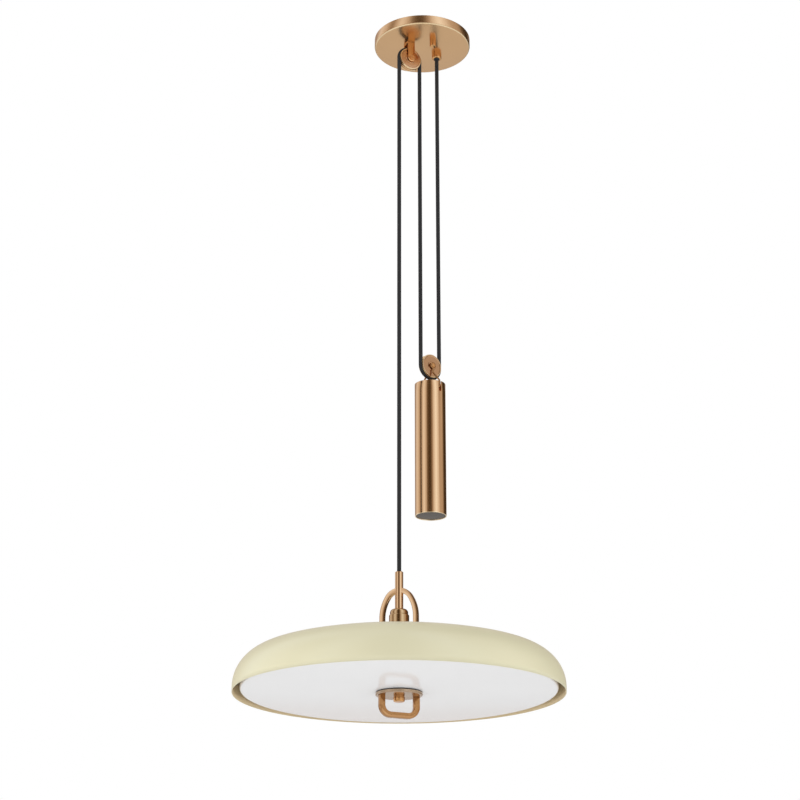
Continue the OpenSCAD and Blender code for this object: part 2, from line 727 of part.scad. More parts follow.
// Held from inside the shade, so the heads are below
module arch_screws() color(steel) at_lamp(arch_turn) for (side = [-1, 1])
    translate([side * arch_leg, 0, shade_top - shade_t - dome_fall(arch_leg + screw_head_d / 2) - seat_gap])
        rotate([180, 0, 0]) screw(0, screw_grip);

// ---- Shade and what hangs in it ----

module shade() color(cream) at_lamp() difference() {
    rotate_extrude() polygon(concat(
        [[shade_r, rim_z]],
        arc(shade_r - shade_corner_r, rim_z + shade_wall_h, shade_corner_r, 0, shade_corner_sweep),
        arc(0, dome_z, dome_r, dome_from, 90),
        arc(0, dome_z, dome_r - shade_t, 90, dome_from),
        arc(shade_r - shade_corner_r, rim_z + shade_wall_h, shade_corner_r - shade_t, shade_corner_sweep, 0),
        [[shade_r - shade_t, rim_z]]));
    tube(shade_top + cut, shade_t + 2 * cut, nipple_d + 2 * fit);
    rotate([0, 0, arch_turn]) for (side = [-1, 1]) translate([side * arch_leg, 0, 0])
        tube(shade_top + cut, shade_t + 3 * cut, screw_d + 2 * fit);
}

module shade_washer() color(steel) at_lamp() tube(washer_top, washer_t, washer_d, nipple_d + 2 * fit);

module hub_nipple() color(steel) at_lamp()
    tube(cap_top + nipple_grip, cap_top + nipple_grip - hub_nipple_low, nipple_d, nipple_bore);

module hub_nut() color(steel) at_lamp() hex_nut(hub_nut_top, nut_h, nipple_flats, nipple_d + fit);

// Strap bent to an upside-down U with feet on the lamp plate
module inner_bracket() color(steel) at_lamp(arch_turn + 90) difference() {
    union() {
        translate([-bracket_reach, -bracket_w / 2, bracket_top - bracket_t])
            cube([2 * bracket_reach, bracket_w, bracket_t]);
        for (side = [0, 1]) mirror([side, 0, 0]) {
            translate([bracket_reach - bracket_t, -bracket_w / 2, plate_top])
                cube([bracket_t, bracket_w, bracket_top - plate_top]);
            translate([bracket_reach - bracket_t, -bracket_w / 2, plate_top])
                cube([bracket_foot + bracket_t, bracket_w, bracket_t]);
        }
    }
    tube(bracket_top + cut, bracket_t + 2 * cut, nipple_d + 2 * fit);
    for (side = [-1, 1]) translate([side * (bracket_reach + bracket_foot / 2), 0, 0])
        tube(plate_top + bracket_t + cut, bracket_t + 2 * cut, screw_d + fit);
}

module bracket_screws() color(steel) at_lamp(arch_turn + 90) for (side = [-1, 1])
    translate([side * (bracket_reach + bracket_foot / 2), 0, 0]) screw(plate_top + bracket_t, bracket_t + plate_t);

module lamp_plate() color(steel) at_lamp() difference() {
    tube(plate_top, plate_t, plate_d, post_d + 2 * fit);
    rotate([0, 0, arch_turn + 90]) for (side = [-1, 1])
        translate([side * (bracket_reach + bracket_foot / 2), 0, 0])
            tube(plate_top + cut, plate_t + 2 * cut, screw_d + fit);
}

module light_board() color(white) at_lamp() tube(plate_low, board_t, board_d, board_hole_d);

// Rings of square light sources, evenly spread over the board's width
module light_sources() color([0.95, 0.90, 0.60]) at_lamp() for (ring = [1:led_rings]) {
    r = board_hole_d / 2 + (board_d - board_hole_d) / 2 * (ring - 0.5) / led_rings;
    for (i = [1:led_count * ring]) rotate([0, 0, 360 * i / (led_count * ring)])
        translate([r - led_side / 2, -led_side / 2, board_low - led_h]) cube([led_side, led_side, led_h]);
}

module driver() color(white) at_lamp(arch_turn)
    translate([driver_offset, -driver_w / 2, plate_top]) cube([driver_l, driver_w, driver_h]);

// Two cores from the cord's end to the driver
module driver_leads() color(black) at_lamp(arch_turn) for (side = [-1, 1]) {
    start = [0, side * lead_pitch / 2, tail_low];
    wire(bent([start, [0, start[1], driver_lead_z], [driver_offset, start[1], driver_lead_z]], lead_bend_r),
        core_d, [0, 1, 0], lead_sides);
}

// Long bolt: its hexagon head rests on the lamp plate
module centre_post() color(steel) at_lamp() {
    translate([0, 0, plate_top]) cylinder(h = post_head_h, d = post_flats / cos(30), $fn = 6);
    tube(plate_top + seam, plate_top + seam - post_low, post_d);
}

module post_nuts() color(steel) at_lamp() {
    hex_nut(plate_low, nut_h, post_flats, post_d + fit);
    hex_nut(diffuser_top + washer_t + nut_h, nut_h, post_flats, post_d + fit);
}

module diffuser_seat() color(steel) at_lamp()
    tube(diffuser_top + washer_t, washer_t, seat_d, post_d + 2 * fit);

// Opal tray: a flat disc with its edge turned up
module diffuser() color(white) at_lamp() rotate_extrude() polygon(concat(
    [[post_d / 2 + fit, diffuser_low]],
    arc(diffuser_d / 2 - diffuser_round, diffuser_low + diffuser_round, diffuser_round, -90, 0),
    [[diffuser_d / 2, diffuser_low + diffuser_lip], [diffuser_d / 2 - diffuser_t, diffuser_low + diffuser_lip]],
    arc(diffuser_d / 2 - diffuser_round, diffuser_low + diffuser_round, diffuser_round - diffuser_t, 0, -90),
    [[post_d / 2 + fit, diffuser_top]]));

module soft_washer() color(black) at_lamp()
    tube(diffuser_low, soft_washer_t, cover_d - cover_wall, post_d + 2 * fit);

// ---- Cover, handle and finial ----

module cover() color(brass) at_lamp() difference() {
    rotate_extrude() polygon(concat(
        [[post_d / 2 + fit, cover_low]],
        arc(cover_d / 2 - cover_round, cover_low + cover_round, cover_round, -90, 0),
        [[cover_d / 2, cover_top], [cover_d / 2 - cover_wall, cover_top]],
        arc(cover_d / 2 - cover_round, cover_low + cover_round, cover_round - cover_wall, 0, -90),
        [[post_d / 2 + fit, cover_low + cover_wall]]));
    rotate([0, 0, handle_turn]) for (side = [-1, 1]) translate([side * leg_offset, 0, 0])
        tube(cover_top, cover_h + cut, screw_d + 2 * fit);
}

// Square bar bent to a U: two legs, two corners and the grip between them
module handle() color(brass) at_lamp(handle_turn) difference() {
    for (side = [0, 1]) mirror([side, 0, 0]) translate([0, 0, cover_low - handle_h + handle_corner_r]) {
        translate([leg_offset - handle_bar / 2, -handle_bar / 2, 0])
            cube([handle_bar, handle_bar, handle_h - handle_corner_r]);
        translate([handle_w / 2 - handle_corner_r, 0, 0]) rotate([-90, 0, 0]) rotate_extrude(angle = 90)
            translate([handle_corner_r - handle_bar, -handle_bar / 2]) square(handle_bar);
        translate([-seam, -handle_bar / 2, -handle_corner_r])
            cube([handle_w / 2 - handle_corner_r + seam, handle_bar, handle_bar]);
    }
    for (side = [-1, 1]) translate([side * leg_offset, 0, 0])
        tube(cover_low + cut, screw_grip + cut + drill_spare, screw_d + fit);
}

module handle_screws() color(steel) at_lamp(handle_turn) for (side = [-1, 1])
    translate([side * leg_offset, 0, 0]) screw(cover_low + cover_wall, cover_wall + screw_grip);

module finial_neck() color(brass) at_lamp() tube(cover_low, finial_neck_h, finial_neck_d, post_d + fit);

module finial() color(brass) at_lamp() difference() {
    rotate_extrude() polygon(concat(
        [[0, finial_low]],
        arc(finial_d / 2 - finial_round, finial_low + finial_round, finial_round, -90, 0),
        [[finial_d / 2, finial_top - finial_bevel], [finial_d / 2 - finial_bevel, finial_top], [0, finial_top]]));
    tube(finial_top + cut, finial_top + cut - post_low, post_d + fit);
}

canopy();
mounting_strap();
canopy_studs();
cap_nuts();
pulley_yoke();
yoke_nut();
upper_axle();
upper_axle_nut();
upper_sheave();
upper_bush();
cord_anchor();
anchor_nut();
anchor_bush();
terminal_block();
terminal_screws();
anchor_leads();
cord_anchor_end();
cord_anchor_strand();
cord_lower_wrap();
cord_middle_strand();
cord_upper_wrap();
cord_lamp_strand();
cord_lamp_end();
weight_tube();
weight_core();
weight_base();
weight_bail();
lower_axle();
axle_caps();
lower_sheave();
lower_bush();
stem();
cord_grip();
grip_screw();
cap();
cup();
arch();
arch_screws();
shade();
shade_washer();
hub_nipple();
hub_nut();
inner_bracket();
bracket_screws();
lamp_plate();
light_board();
light_sources();
driver();
driver_leads();
centre_post();
post_nuts();
diffuser_seat();
diffuser();
soft_washer();
cover();
handle();
handle_screws();
finial_neck();
finial();
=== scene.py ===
"""Rise and fall pendant lamp: satin brass, a black cord, a cream shade and an opal diffuser.

Metres, +Z up; the origin is the centre of the canopy's face on the ceiling.
"""

from math import atan2, cos, hypot, pi, radians, sin, sqrt

import bmesh
import bpy
from mathutils import Matrix, Vector


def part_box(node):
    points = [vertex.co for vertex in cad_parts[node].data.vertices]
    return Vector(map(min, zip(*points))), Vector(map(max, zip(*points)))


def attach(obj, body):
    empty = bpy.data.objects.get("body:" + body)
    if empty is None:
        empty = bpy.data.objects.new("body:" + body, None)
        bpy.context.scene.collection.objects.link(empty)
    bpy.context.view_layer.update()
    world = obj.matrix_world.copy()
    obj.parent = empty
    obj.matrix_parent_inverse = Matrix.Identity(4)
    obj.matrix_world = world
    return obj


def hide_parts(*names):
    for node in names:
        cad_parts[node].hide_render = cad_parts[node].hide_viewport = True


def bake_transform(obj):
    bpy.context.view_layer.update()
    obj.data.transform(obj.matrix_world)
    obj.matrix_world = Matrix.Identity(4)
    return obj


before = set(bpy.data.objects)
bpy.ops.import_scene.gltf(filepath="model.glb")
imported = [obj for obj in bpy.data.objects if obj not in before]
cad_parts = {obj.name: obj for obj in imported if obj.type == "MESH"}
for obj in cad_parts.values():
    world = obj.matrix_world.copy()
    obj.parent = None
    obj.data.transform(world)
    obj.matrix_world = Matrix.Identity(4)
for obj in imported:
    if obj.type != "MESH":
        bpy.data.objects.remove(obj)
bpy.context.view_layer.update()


# ---- Camera ----
# The lamp is photographed from below, 20 degrees upwards, from about 2.8 m away with a long lens. The
# lamp's own frame is turned by 30 degrees against the picture.

look_up = radians(20.03)
turn = radians(-30)
camera_at = (-1.4064, -2.3588, -1.6669)

camera = bpy.data.cameras.new("camera")
camera.sensor_width = 36
camera.lens = 81.42
camera.clip_end = 50
camera_object = bpy.data.objects.new("camera", camera)
camera_object.location = camera_at
camera_object.rotation_euler = (pi / 2 + look_up, 0, turn)
bpy.context.scene.collection.objects.link(camera_object)
bpy.context.scene.camera = camera_object


# ---- Studio ----
# A white room with a soft, even light, tall soft boxes at both sides and two smaller ones below. The
# place where the camera stands is darker, which gives polished round bars their dark middle. The
# floor only sends light back: the camera sees white all round.

floor_z = -2.4
floor_size = 14
floor_grey = 0.9
room_light = 0.74
white = (1, 1, 1, 1)

scene = bpy.context.scene
scene.view_settings.view_transform = "Standard"

room = bpy.data.worlds.new("white_room")
scene.world = room
room.use_nodes = True
nodes, links = room.node_tree.nodes, room.node_tree.links
nodes.clear()
output = nodes.new("ShaderNodeOutputWorld")
direction = nodes.new("ShaderNodeTexCoord")

# Bearing of a reflected ray, from 0 to 1: away from the camera, left, at the camera, right, away again
to_right = nodes.new("ShaderNodeVectorMath")
to_right.inputs[1].default_value = (cos(turn), sin(turn), 0)
to_front = nodes.new("ShaderNodeVectorMath")
to_front.inputs[1].default_value = (sin(turn), -cos(turn), 0)
bearing = nodes.new("ShaderNodeMath")
bearing.operation = "ARCTAN2"
for dot, side in zip((to_right, to_front), bearing.inputs):
    dot.operation = "DOT_PRODUCT"
    links.new(direction.outputs["Generated"], dot.inputs[0])
    links.new(dot.outputs["Value"], side)
share = nodes.new("ShaderNodeMapRange")
share.inputs["From Min"].default_value = -pi
share.inputs["From Max"].default_value = pi
links.new(bearing.outputs["Value"], share.inputs["Value"])

# Brightness of the room round the lamp: degrees to the right of the camera, and level. Its darker
# stretches are a warm brown, and its brightest are windows and soft boxes, a little cooler than white.
levels = ((-180, 0.6), (-145, 0.4), (-118, 0.95), (-96, 0.8), (-84, 0.5), (-76, 0.22), (-66, 0.65),
          (-50, 1.05), (-34, 0.75), (-22, 0.2), (-10, 0.08), (2, 0.10), (12, 0.4), (24, 0.9), (40, 1.2),
          (56, 0.95), (72, 0.62), (96, 0.55), (110, 0.12), (122, 0.05), (140, 0.04), (158, 0.35), (180, 0.6))
green_in_dark, green_gain = 0.64, 0.42
blue_in_dark, blue_gain = 0.30, 0.90
walls = nodes.new("ShaderNodeValToRGB")
walls.color_ramp.interpolation = "EASE"
stops = walls.color_ramp.elements
while len(stops) < len(levels):
    stops.new(0.5)
for stop, (degrees_right, level) in zip(stops, levels):
    stop.position = (degrees_right + 180) / 360
    green = level * (green_in_dark + green_gain * level)
    blue = level * (blue_in_dark + blue_gain * level)
    stop.color = (level, green, blue, 1)
links.new(share.outputs["Result"], walls.inputs["Fac"])

# Light for dull surfaces, the room for reflections, and plain white for the camera
light_path = nodes.new("ShaderNodeLightPath")
lit = nodes.new("ShaderNodeBackground")
lit.inputs["Color"].default_value = white
lit.inputs["Strength"].default_value = room_light
mirrored = nodes.new("ShaderNodeBackground")
links.new(walls.outputs["Color"], mirrored.inputs["Color"])
seen = nodes.new("ShaderNodeBackground")
seen.inputs["Color"].default_value = white
to_glossy = nodes.new("ShaderNodeMixShader")
to_camera = nodes.new("ShaderNodeMixShader")
links.new(light_path.outputs["Is Glossy Ray"], to_glossy.inputs["Fac"])
links.new(lit.outputs["Background"], to_glossy.inputs[1])
links.new(mirrored.outputs["Background"], to_glossy.inputs[2])
links.new(light_path.outputs["Is Camera Ray"], to_camera.inputs["Fac"])
links.new(to_glossy.outputs["Shader"], to_camera.inputs[1])
links.new(seen.outputs["Background"], to_camera.inputs[2])
links.new(to_camera.outputs["Shader"], output.inputs["Surface"])

# Soft boxes: degrees to the right of the camera, degrees up and distance; width and height; watts
aim = Vector((-0.04, 0, -0.9))
soft_boxes = {
    "left_box": ((-75, 4, 2.6), (1.6, 2.6), 20),
    "right_box": ((80, 8, 2.8), (1.4, 2.6), 20),
    "low_box": ((0, -48, 1.85), (2.2, 1.6), 6.5),
    "back_box": ((180, -60, 1.6), (1.6, 1.6), 5),
}
for name, ((side, above, away), (wide, high), watts) in soft_boxes.items():
    lamp = bpy.data.lights.new(name, "AREA")
    lamp.shape = "RECTANGLE"
    lamp.size, lamp.size_y, lamp.energy = wide, high, watts
    box = bpy.data.objects.new(name, lamp)
    heading = turn - pi / 2 + radians(side)
    flat_away, height = cos(radians(above)) * away, sin(radians(above)) * away
    box.location = aim + Vector((flat_away * cos(heading), flat_away * sin(heading), height))
    box.rotation_euler = (aim - box.location).to_track_quat("-Z", "Y").to_euler()
    box.visible_glossy = False
    scene.collection.objects.link(box)

floor_shape = bmesh.new()
bmesh.ops.create_grid(floor_shape, x_segments=8, y_segments=8, size=floor_size / 2)
bmesh.ops.translate(floor_shape, verts=floor_shape.verts, vec=(0, 0, floor_z))
floor_mesh = bpy.data.meshes.new("floor")
floor_shape.to_mesh(floor_mesh)
floor_shape.free()
floor = bpy.data.objects.new("floor", floor_mesh)
floor.visible_camera = False
scene.collection.objects.link(floor)
pale = bpy.data.materials.new("pale_floor")
pale.use_nodes = True
pale_shader = pale.node_tree.nodes["Principled BSDF"]
pale_shader.inputs["Base Color"].default_value = (floor_grey, floor_grey, floor_grey, 1)
pale_shader.inputs["Roughness"].default_value = 0.8
floor_mesh.materials.append(pale)


# ---- Cord ----
# One black cord of 6.6 mm: from the anchor down round the weight's pulley, up over the pulley on the
# canopy and down into the lamp's stem. It is taut, held at both ends, and made in two runs here.

cord_d = 0.0066
wrap_steps = 32
weld = 1e-6


def middle(node):
    """Centre of a node's box."""
    low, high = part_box(node)
    return (low + high) / 2


def placed(x, y, z, turned_by=0.0):
    """Place of a piece that is made about its own upright axis."""
    return Matrix.Translation((x, y, z)) @ Matrix.Rotation(turned_by, 4, "Z")


def verts_of(made):
    """The vertices in what an operator has made."""
    return [part for part in made if isinstance(part, bmesh.types.BMVert)]


class Stock:
    """Bar, wire or cord that is run on straight and bent from its open end. It keeps its middle line."""

    def __init__(self, start, heading, side, width, sides=24):
        self.shape = bmesh.new()
        self.heading, self.at, self.route = Vector(heading).normalized(), Vector(start), [Vector(start)]
        across = Vector(side).normalized()
        # Square bar is a circle of four corners, turned so that its flat sides face the given side
        square = sides == 4
        made = bmesh.ops.create_circle(self.shape, cap_ends=True, segments=sides,
                                       radius=width / 2 * (sqrt(2) if square else 1))
        about = self.heading.cross(across)
        pose = Matrix((across, about, self.heading)).transposed().to_4x4() @ Matrix.Rotation(pi / 4, 4, "Z")
        bmesh.ops.transform(self.shape, matrix=Matrix.Translation(self.at) @ pose, verts=made["verts"])
        self.end = self.shape.faces[:][0]

    def moved_on(self, made, at):
        """Takes the new open end, and the face that it grew from goes, unless it closes the start."""
        if len(self.route) > 1 and self.end.is_valid:
            bmesh.ops.delete(self.shape, geom=[self.end], context="FACES_ONLY")
        self.end = next(part for part in made if isinstance(part, bmesh.types.BMFace))
        self.at = at
        self.route.append(at.copy())

    def straight(self, length):
        """Runs straight on."""
        step = self.heading * length
        made = bmesh.ops.extrude_face_region(self.shape, geom=[self.end])["geom"]
        bmesh.ops.translate(self.shape, vec=step, verts=verts_of(made))
        self.moved_on(made, self.at + step)
        return self

    def bend(self, towards, radius, angle, steps=16):
        """Bends towards a direction, by the radius of the middle line."""
        self.axis = self.heading.cross(Vector(towards).normalized())
        return self.bend_on(radius, angle, steps)

    def bend_on(self, radius, angle, steps=16):
        """Bends the same way as before, with its own radius."""
        centre = self.at + self.axis.cross(self.heading) * radius
        rotation = Matrix.Rotation(angle / steps, 3, self.axis)
        for _ in range(steps):
            made = bmesh.ops.spin(self.shape, geom=[self.end], cent=centre, axis=self.axis, steps=1,
                                  angle=angle / steps, use_duplicate=False)["geom_last"]
            self.heading = rotation @ self.heading
            self.moved_on(made, centre + rotation @ (self.at - centre))
        return self


def made_object(shape, name, coats, soft_angle=35):
    """Turns a finished bmesh into an object at the origin, smooth but for its sharp edges."""
    bmesh.ops.remove_doubles(shape, verts=shape.verts, dist=weld)
    bmesh.ops.recalc_face_normals(shape, faces=shape.faces)
    for face in shape.faces:
        face.smooth = True
    for edge in shape.edges:
        edge.smooth = not edge.is_manifold or edge.calc_face_angle(0) < radians(soft_angle)
    mesh = bpy.data.meshes.new(name)
    shape.to_mesh(mesh)
    shape.free()
    piece = bpy.data.objects.new(name, mesh)
    for coat in coats:
        mesh.materials.append(coat)
    scene.collection.objects.link(piece)
    return piece


def feed(tree, node, values):
    """Gives each named socket of a node a value, or a link from another node's socket."""
    for name, value in values.items():
        if isinstance(value, bpy.types.NodeSocket):
            tree.links.new(value, node.inputs[name])
        else:
            node.inputs[name].default_value = value


def relief(tree, height, strength, distance, inward=False):
    """Normal of a surface with a fine relief."""
    node = tree.nodes.new("ShaderNodeBump")
    node.invert = inward
    feed(tree, node, {"Strength": strength, "Distance": distance, "Height": height})
    return node.outputs["Normal"]


def new_coat(name):
    """A new material with its node tree, its shader and the object's own coordinates."""
    coat = bpy.data.materials.new(name)
    coat.use_nodes = True
    tree = coat.node_tree
    return coat, tree, tree.nodes["Principled BSDF"], tree.nodes.new("ShaderNodeTexCoord").outputs["Object"]


def cord_cover():
    """Black braided textile over rubber, dull, with a fine weave."""
    weave_scale = 1700
    coat, tree, shader, where = new_coat("black_cord")
    weave = tree.nodes.new("ShaderNodeTexVoronoi")
    feed(tree, weave, {"Vector": where, "Scale": weave_scale})
    shade = tree.nodes.new("ShaderNodeValToRGB")
    shade.color_ramp.elements[0].color = (0.036, 0.036, 0.037, 1)
    shade.color_ramp.elements[1].color = (0.028, 0.028, 0.029, 1)
    feed(tree, shade, {"Fac": weave.outputs["Distance"]})
    feed(tree, shader, {"Base Color": shade.outputs["Color"], "Specular IOR Level": 0.15, "Roughness": 0.75,
                        "Normal": relief(tree, weave.outputs["Distance"], 0.2, 0.0002, inward=True)})
    return coat


cord_coat = cord_cover()
upper = middle("upper_sheave")
lower = middle("lower_sheave")
anchor = middle("cord_anchor")
lamp_at = middle("stem")
middle_at = middle("cord_middle_strand")
anchor_mouth, anchor_end = (corner.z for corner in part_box("cord_anchor_end"))
lamp_end, stem_top = (corner.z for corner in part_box("cord_lamp_end"))
to_middle = (middle_at - upper).to_2d()
pitch_r, over = to_middle.length, to_middle.normalized().to_3d()
under = (anchor - lower).to_2d().normalized().to_3d()
upper_turn = atan2(over.y, over.x)
lower_turn = atan2(under.y, under.x)

weight_side = Stock((anchor.x, anchor.y, anchor_end), (0, 0, -1), under, cord_d)
weight_side.straight(anchor_end - anchor_mouth).straight(anchor_mouth - lower.z)
weight_side.bend(-under, pitch_r, pi, wrap_steps).straight(upper.z - lower.z)
lamp_side = Stock((middle_at.x, middle_at.y, upper.z), (0, 0, 1), over, cord_d)
lamp_side.bend(-over, pitch_r, pi, wrap_steps).straight(upper.z - stem_top).straight(stem_top - lamp_end)

runs = (
    ("cord_weight_side", weight_side, "counterweight",
     (anchor.x, anchor.y, upper.z), (anchor.x, anchor.y, lower.z),
     ("cord_anchor_end", "cord_anchor_strand", "cord_lower_wrap", "cord_middle_strand")),
    ("cord_lamp_side", lamp_side, "lamp", (lamp_at.x, lamp_at.y, upper.z), (lamp_at.x, lamp_at.y, stem_top),
     ("cord_upper_wrap", "cord_lamp_strand", "cord_lamp_end")),
)
for name, stock, body, start, end, stands_for in runs:
    cord = made_object(stock.shape, name, [cord_coat])
    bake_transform(cord)
    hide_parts(*stands_for)


# ---- Canopy ----
# A shallow pan spun from brass sheet, with a small round at its lower edge that carries a thin painted
# highlight, and a satin face with fine turning marks. It is pulled up against the ceiling by its two cap
# nuts.

sheet = 0.0012
canopy_edge_r = 0.003
canopy_highlight_w = 0.0024
canopy_highlight_h = 0.0014
fine_round = 0.0003
on_ring = 1e-5
brass = (0.75, 0.475, 0.25)


def shader_group(name, inputs, outputs):
    """A new node group with its named sockets, its input node and its output node."""
    group = bpy.data.node_groups.new(name, "ShaderNodeTree")
    for in_out, sockets in (("INPUT", inputs), ("OUTPUT", outputs)):
        for socket, kind in sockets.items():
            group.interface.new_socket(socket, in_out=in_out, socket_type="NodeSocket" + kind)
    return group, group.nodes.new("NodeGroupInput"), group.nodes.new("NodeGroupOutput")


def maths(tree, operation, *values):
    """Result of a Math node, whose values are numbers or other nodes' sockets."""
    node = tree.nodes.new("ShaderNodeMath")
    node.operation = operation
    feed(tree, node, dict(enumerate(values)))
    return node.outputs["Value"]


def mixed(tree, factor, first, second, blend="MIX"):
    """Colour mixed from two colours or sockets."""
    node = tree.nodes.new("ShaderNodeMix")
    node.data_type = "RGBA"
    node.blend_type = blend
    feed(tree, node, {"Factor": factor, "A": first, "B": second})
    return node.outputs["Result"]


def noise(tree, at, scale, detail=2):
    """Soft noise from 0 to 1."""
    node = tree.nodes.new("ShaderNodeTexNoise")
    feed(tree, node, {"Vector": at, "Scale": scale, "Detail": detail})
    return node.outputs["Fac"]


def split_at(tree, at):
    """Distance from the Z axis of a point, and its three coordinates."""
    parts = tree.nodes.new("ShaderNodeSeparateXYZ")
    feed(tree, parts, {"Vector": at})
    x, y, z = parts.outputs
    squares = maths(tree, "ADD", maths(tree, "MULTIPLY", x, x), maths(tree, "MULTIPLY", y, y))
    return maths(tree, "SQRT", squares), x, y, z


def turning_marks():
    """Node group: fine rings round an axis on turned or spun metal, or lines along Z on drawn bar, with a
    broad haze of handling over them. Turned is 1 for rings and 0 for lines."""
    drawn_out = 0.03
    haze_scale = 26
    mark_height = 0.0001
    rough_swing = 0.10
    tone_swing = 0.10
    group, given, result = shader_group(
        "turning_marks",
        {"Vector": "Vector", "Turned": "Float", "Fineness": "Float", "Depth": "Float", "Roughness": "Float",
         "Colour": "Color"},
        {"Colour": "Color", "Roughness": "Float", "Normal": "Vector"})
    given = given.outputs
    radius, x, y, z = split_at(group, given["Vector"])
    lines = maths(group, "SUBTRACT", 1, given["Turned"])
    ring_x = maths(group, "MULTIPLY", radius, given["Turned"])
    line_x = maths(group, "MULTIPLY", x, lines)
    stretch = maths(group, "ADD", maths(group, "MULTIPLY", given["Turned"], 1 - drawn_out), drawn_out)
    marks_at = group.nodes.new("ShaderNodeCombineXYZ")
    feed(group, marks_at, {"X": maths(group, "ADD", ring_x, line_x), "Y": maths(group, "MULTIPLY", y, lines),
                           "Z": maths(group, "MULTIPLY", z, stretch)})
    fine = noise(group, marks_at.outputs["Vector"], given["Fineness"], detail=3)
    haze = noise(group, given["Vector"], haze_scale, detail=5)

    fine_spread = maths(group, "MULTIPLY", fine, rough_swing)
    spread = maths(group, "ADD", fine_spread, maths(group, "MULTIPLY", haze, rough_swing))
    grey = maths(group, "ADD", maths(group, "MULTIPLY", haze, tone_swing), 1 - tone_swing / 2)
    feed(group, result, {
        "Colour": mixed(group, 1, given["Colour"], grey, "MULTIPLY"),
        "Roughness": maths(group, "ADD", given["Roughness"], maths(group, "SUBTRACT", spread, rough_swing)),
        "Normal": relief(group, fine, given["Depth"], mark_height),
    })
    return group


def painted_edge_highlight():
    """Node group: a painted highlight, a brighter colour outside a radius and below a height."""
    soft = 0.0004
    painted_highlight_colour = (0.96, 0.76, 0.48, 1)
    group, given, result = shader_group(
        "painted_edge_highlight", {"Vector": "Vector", "Colour": "Color", "Radius": "Float", "Height": "Float"},
        {"Colour": "Color"})
    given = given.outputs
    radius, _, _, z = split_at(group, given["Vector"])
    within = []
    for value, limit, reach in ((radius, given["Radius"], soft), (z, given["Height"], -soft)):
        ramp = group.nodes.new("ShaderNodeMapRange")
        feed(group, ramp, {"Value": value, "From Min": limit, "From Max": maths(group, "ADD", limit, reach)})
        within.append(ramp.outputs["Result"])
    feed(group, result, {"Colour": mixed(group, maths(group, "MULTIPLY", *within), given["Colour"], painted_highlight_colour)})
    return group


marks = turning_marks()
shine = painted_edge_highlight()


def laid(tree, group, values):
    """Places a node group in a material with its own values, and gives its outputs."""
    node = tree.nodes.new("ShaderNodeGroup")
    node.node_tree = group
    feed(tree, node, values)
    return node.outputs


def metal(name, colour, axis=(0, 0, 0), lean=(0, 0, 0), turned_piece=True, fineness=1500, depth=0.1,
          roughness=0.28, edge=None):
    """Satin metal whose turning marks or lines run about the piece's own axis. An edge, given as its inner
    radius and its upper height, gets a painted highlight in a brighter colour."""
    coat, tree, shader, where = new_coat(name)
    centred = tree.nodes.new("ShaderNodeMapping")
    centred.vector_type = "TEXTURE"
    feed(tree, centred, {"Vector": where, "Location": axis, "Rotation": lean})
    at = centred.outputs["Vector"]
    worked = laid(tree, marks, {"Vector": at, "Turned": float(turned_piece), "Fineness": fineness,
                                "Depth": depth, "Roughness": roughness, "Colour": (*colour, 1)})
    shown = worked["Colour"]
    # Painted highlight: the base colour turns brighter along the given edge
    if edge:
        highlighted = laid(tree, shine, {"Vector": at, "Colour": shown, "Radius": edge[0], "Height": edge[1]})
        shown = highlighted["Colour"]
    feed(tree, shader, {"Base Color": shown, "Roughness": worked["Roughness"], "Normal": worked["Normal"],
                        "Metallic": 1})
    return coat


def is_at(vert, point):
    """Whether a vertex lies on the ring of an outline's (radius, height) point."""
    radius, height = point
    return abs(hypot(vert.co.x, vert.co.y) - radius) < on_ring and abs(vert.co.z - height) < on_ring


def turned(outline, rounds=(), place=Matrix.Identity(4), around=96, segments=4):
    """A piece turned about Z: its outline of (radius, height) points goes once round, and the ring at each
    point of rounds, given as (point number, radius), is rounded."""
    shape = bmesh.new()
    corners = [shape.verts.new((radius, 0, height)) for radius, height in outline]
    ends_on_axis = outline[0][0] == 0
    followers = corners[1:] if ends_on_axis else corners[1:] + corners[:1]
    sides = [shape.edges.new(pair) for pair in zip(corners, followers)]
    bmesh.ops.spin(shape, geom=corners + sides, cent=(0, 0, 0), axis=(0, 0, 1), angle=2 * pi, steps=around,
                   use_merge=True)
    bmesh.ops.remove_doubles(shape, verts=shape.verts, dist=weld)
    bmesh.ops.recalc_face_normals(shape, faces=shape.faces)
    for number, round_r in rounds:
        ring = [edge for edge in shape.edges if all(is_at(vert, outline[number]) for vert in edge.verts)]
        bmesh.ops.bevel(shape, geom=ring, offset=round_r, affect="EDGES", segments=segments, profile=0.5,
                        material=-1)
    bmesh.ops.transform(shape, matrix=place, verts=shape.verts)
    return shape


def add_solid(shape, other):
    """Puts a second solid beside the first in one piece."""
    spare = bpy.data.meshes.new("spare")
    other.to_mesh(spare)
    other.free()
    shape.from_mesh(spare)
    bpy.data.meshes.remove(spare)


def fitted(shape, name, coats, body, stands_for, soft_angle=35):
    """Finishes a piece, lets it ride on its body, and hides the CAD nodes that it stands for."""
    piece = made_object(shape, name, coats, soft_angle)
    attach(piece, body)
    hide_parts(*stands_for)
    return piece


low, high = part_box("canopy")
canopy_r, canopy_low = high.x, low.z
canopy_outline = [(0, canopy_low), (canopy_r, canopy_low), (canopy_r, 0), (canopy_r - sheet, 0),
                  (canopy_r - sheet, canopy_low + sheet), (0, canopy_low + sheet)]
canopy_rounds = ((1, canopy_edge_r), (2, fine_round), (3, fine_round))
# Painted highlight: a brighter colour in a thin ring along the round of the lower edge
canopy_brass = metal("spun_brass_canopy", brass, fineness=900, roughness=0.24,
                     edge=(canopy_r - canopy_highlight_w, canopy_low + canopy_highlight_h))
fitted(turned(canopy_outline, canopy_rounds, around=160), "spun_canopy", [canopy_brass], "canopy", ["canopy"])


# ---- Cap nuts ----
# Two turned brass barrels with rounded ends, screwed on the studs of the ceiling strap. They stand on
# opposite sides of the canopy's middle, and the camera sees the near one.

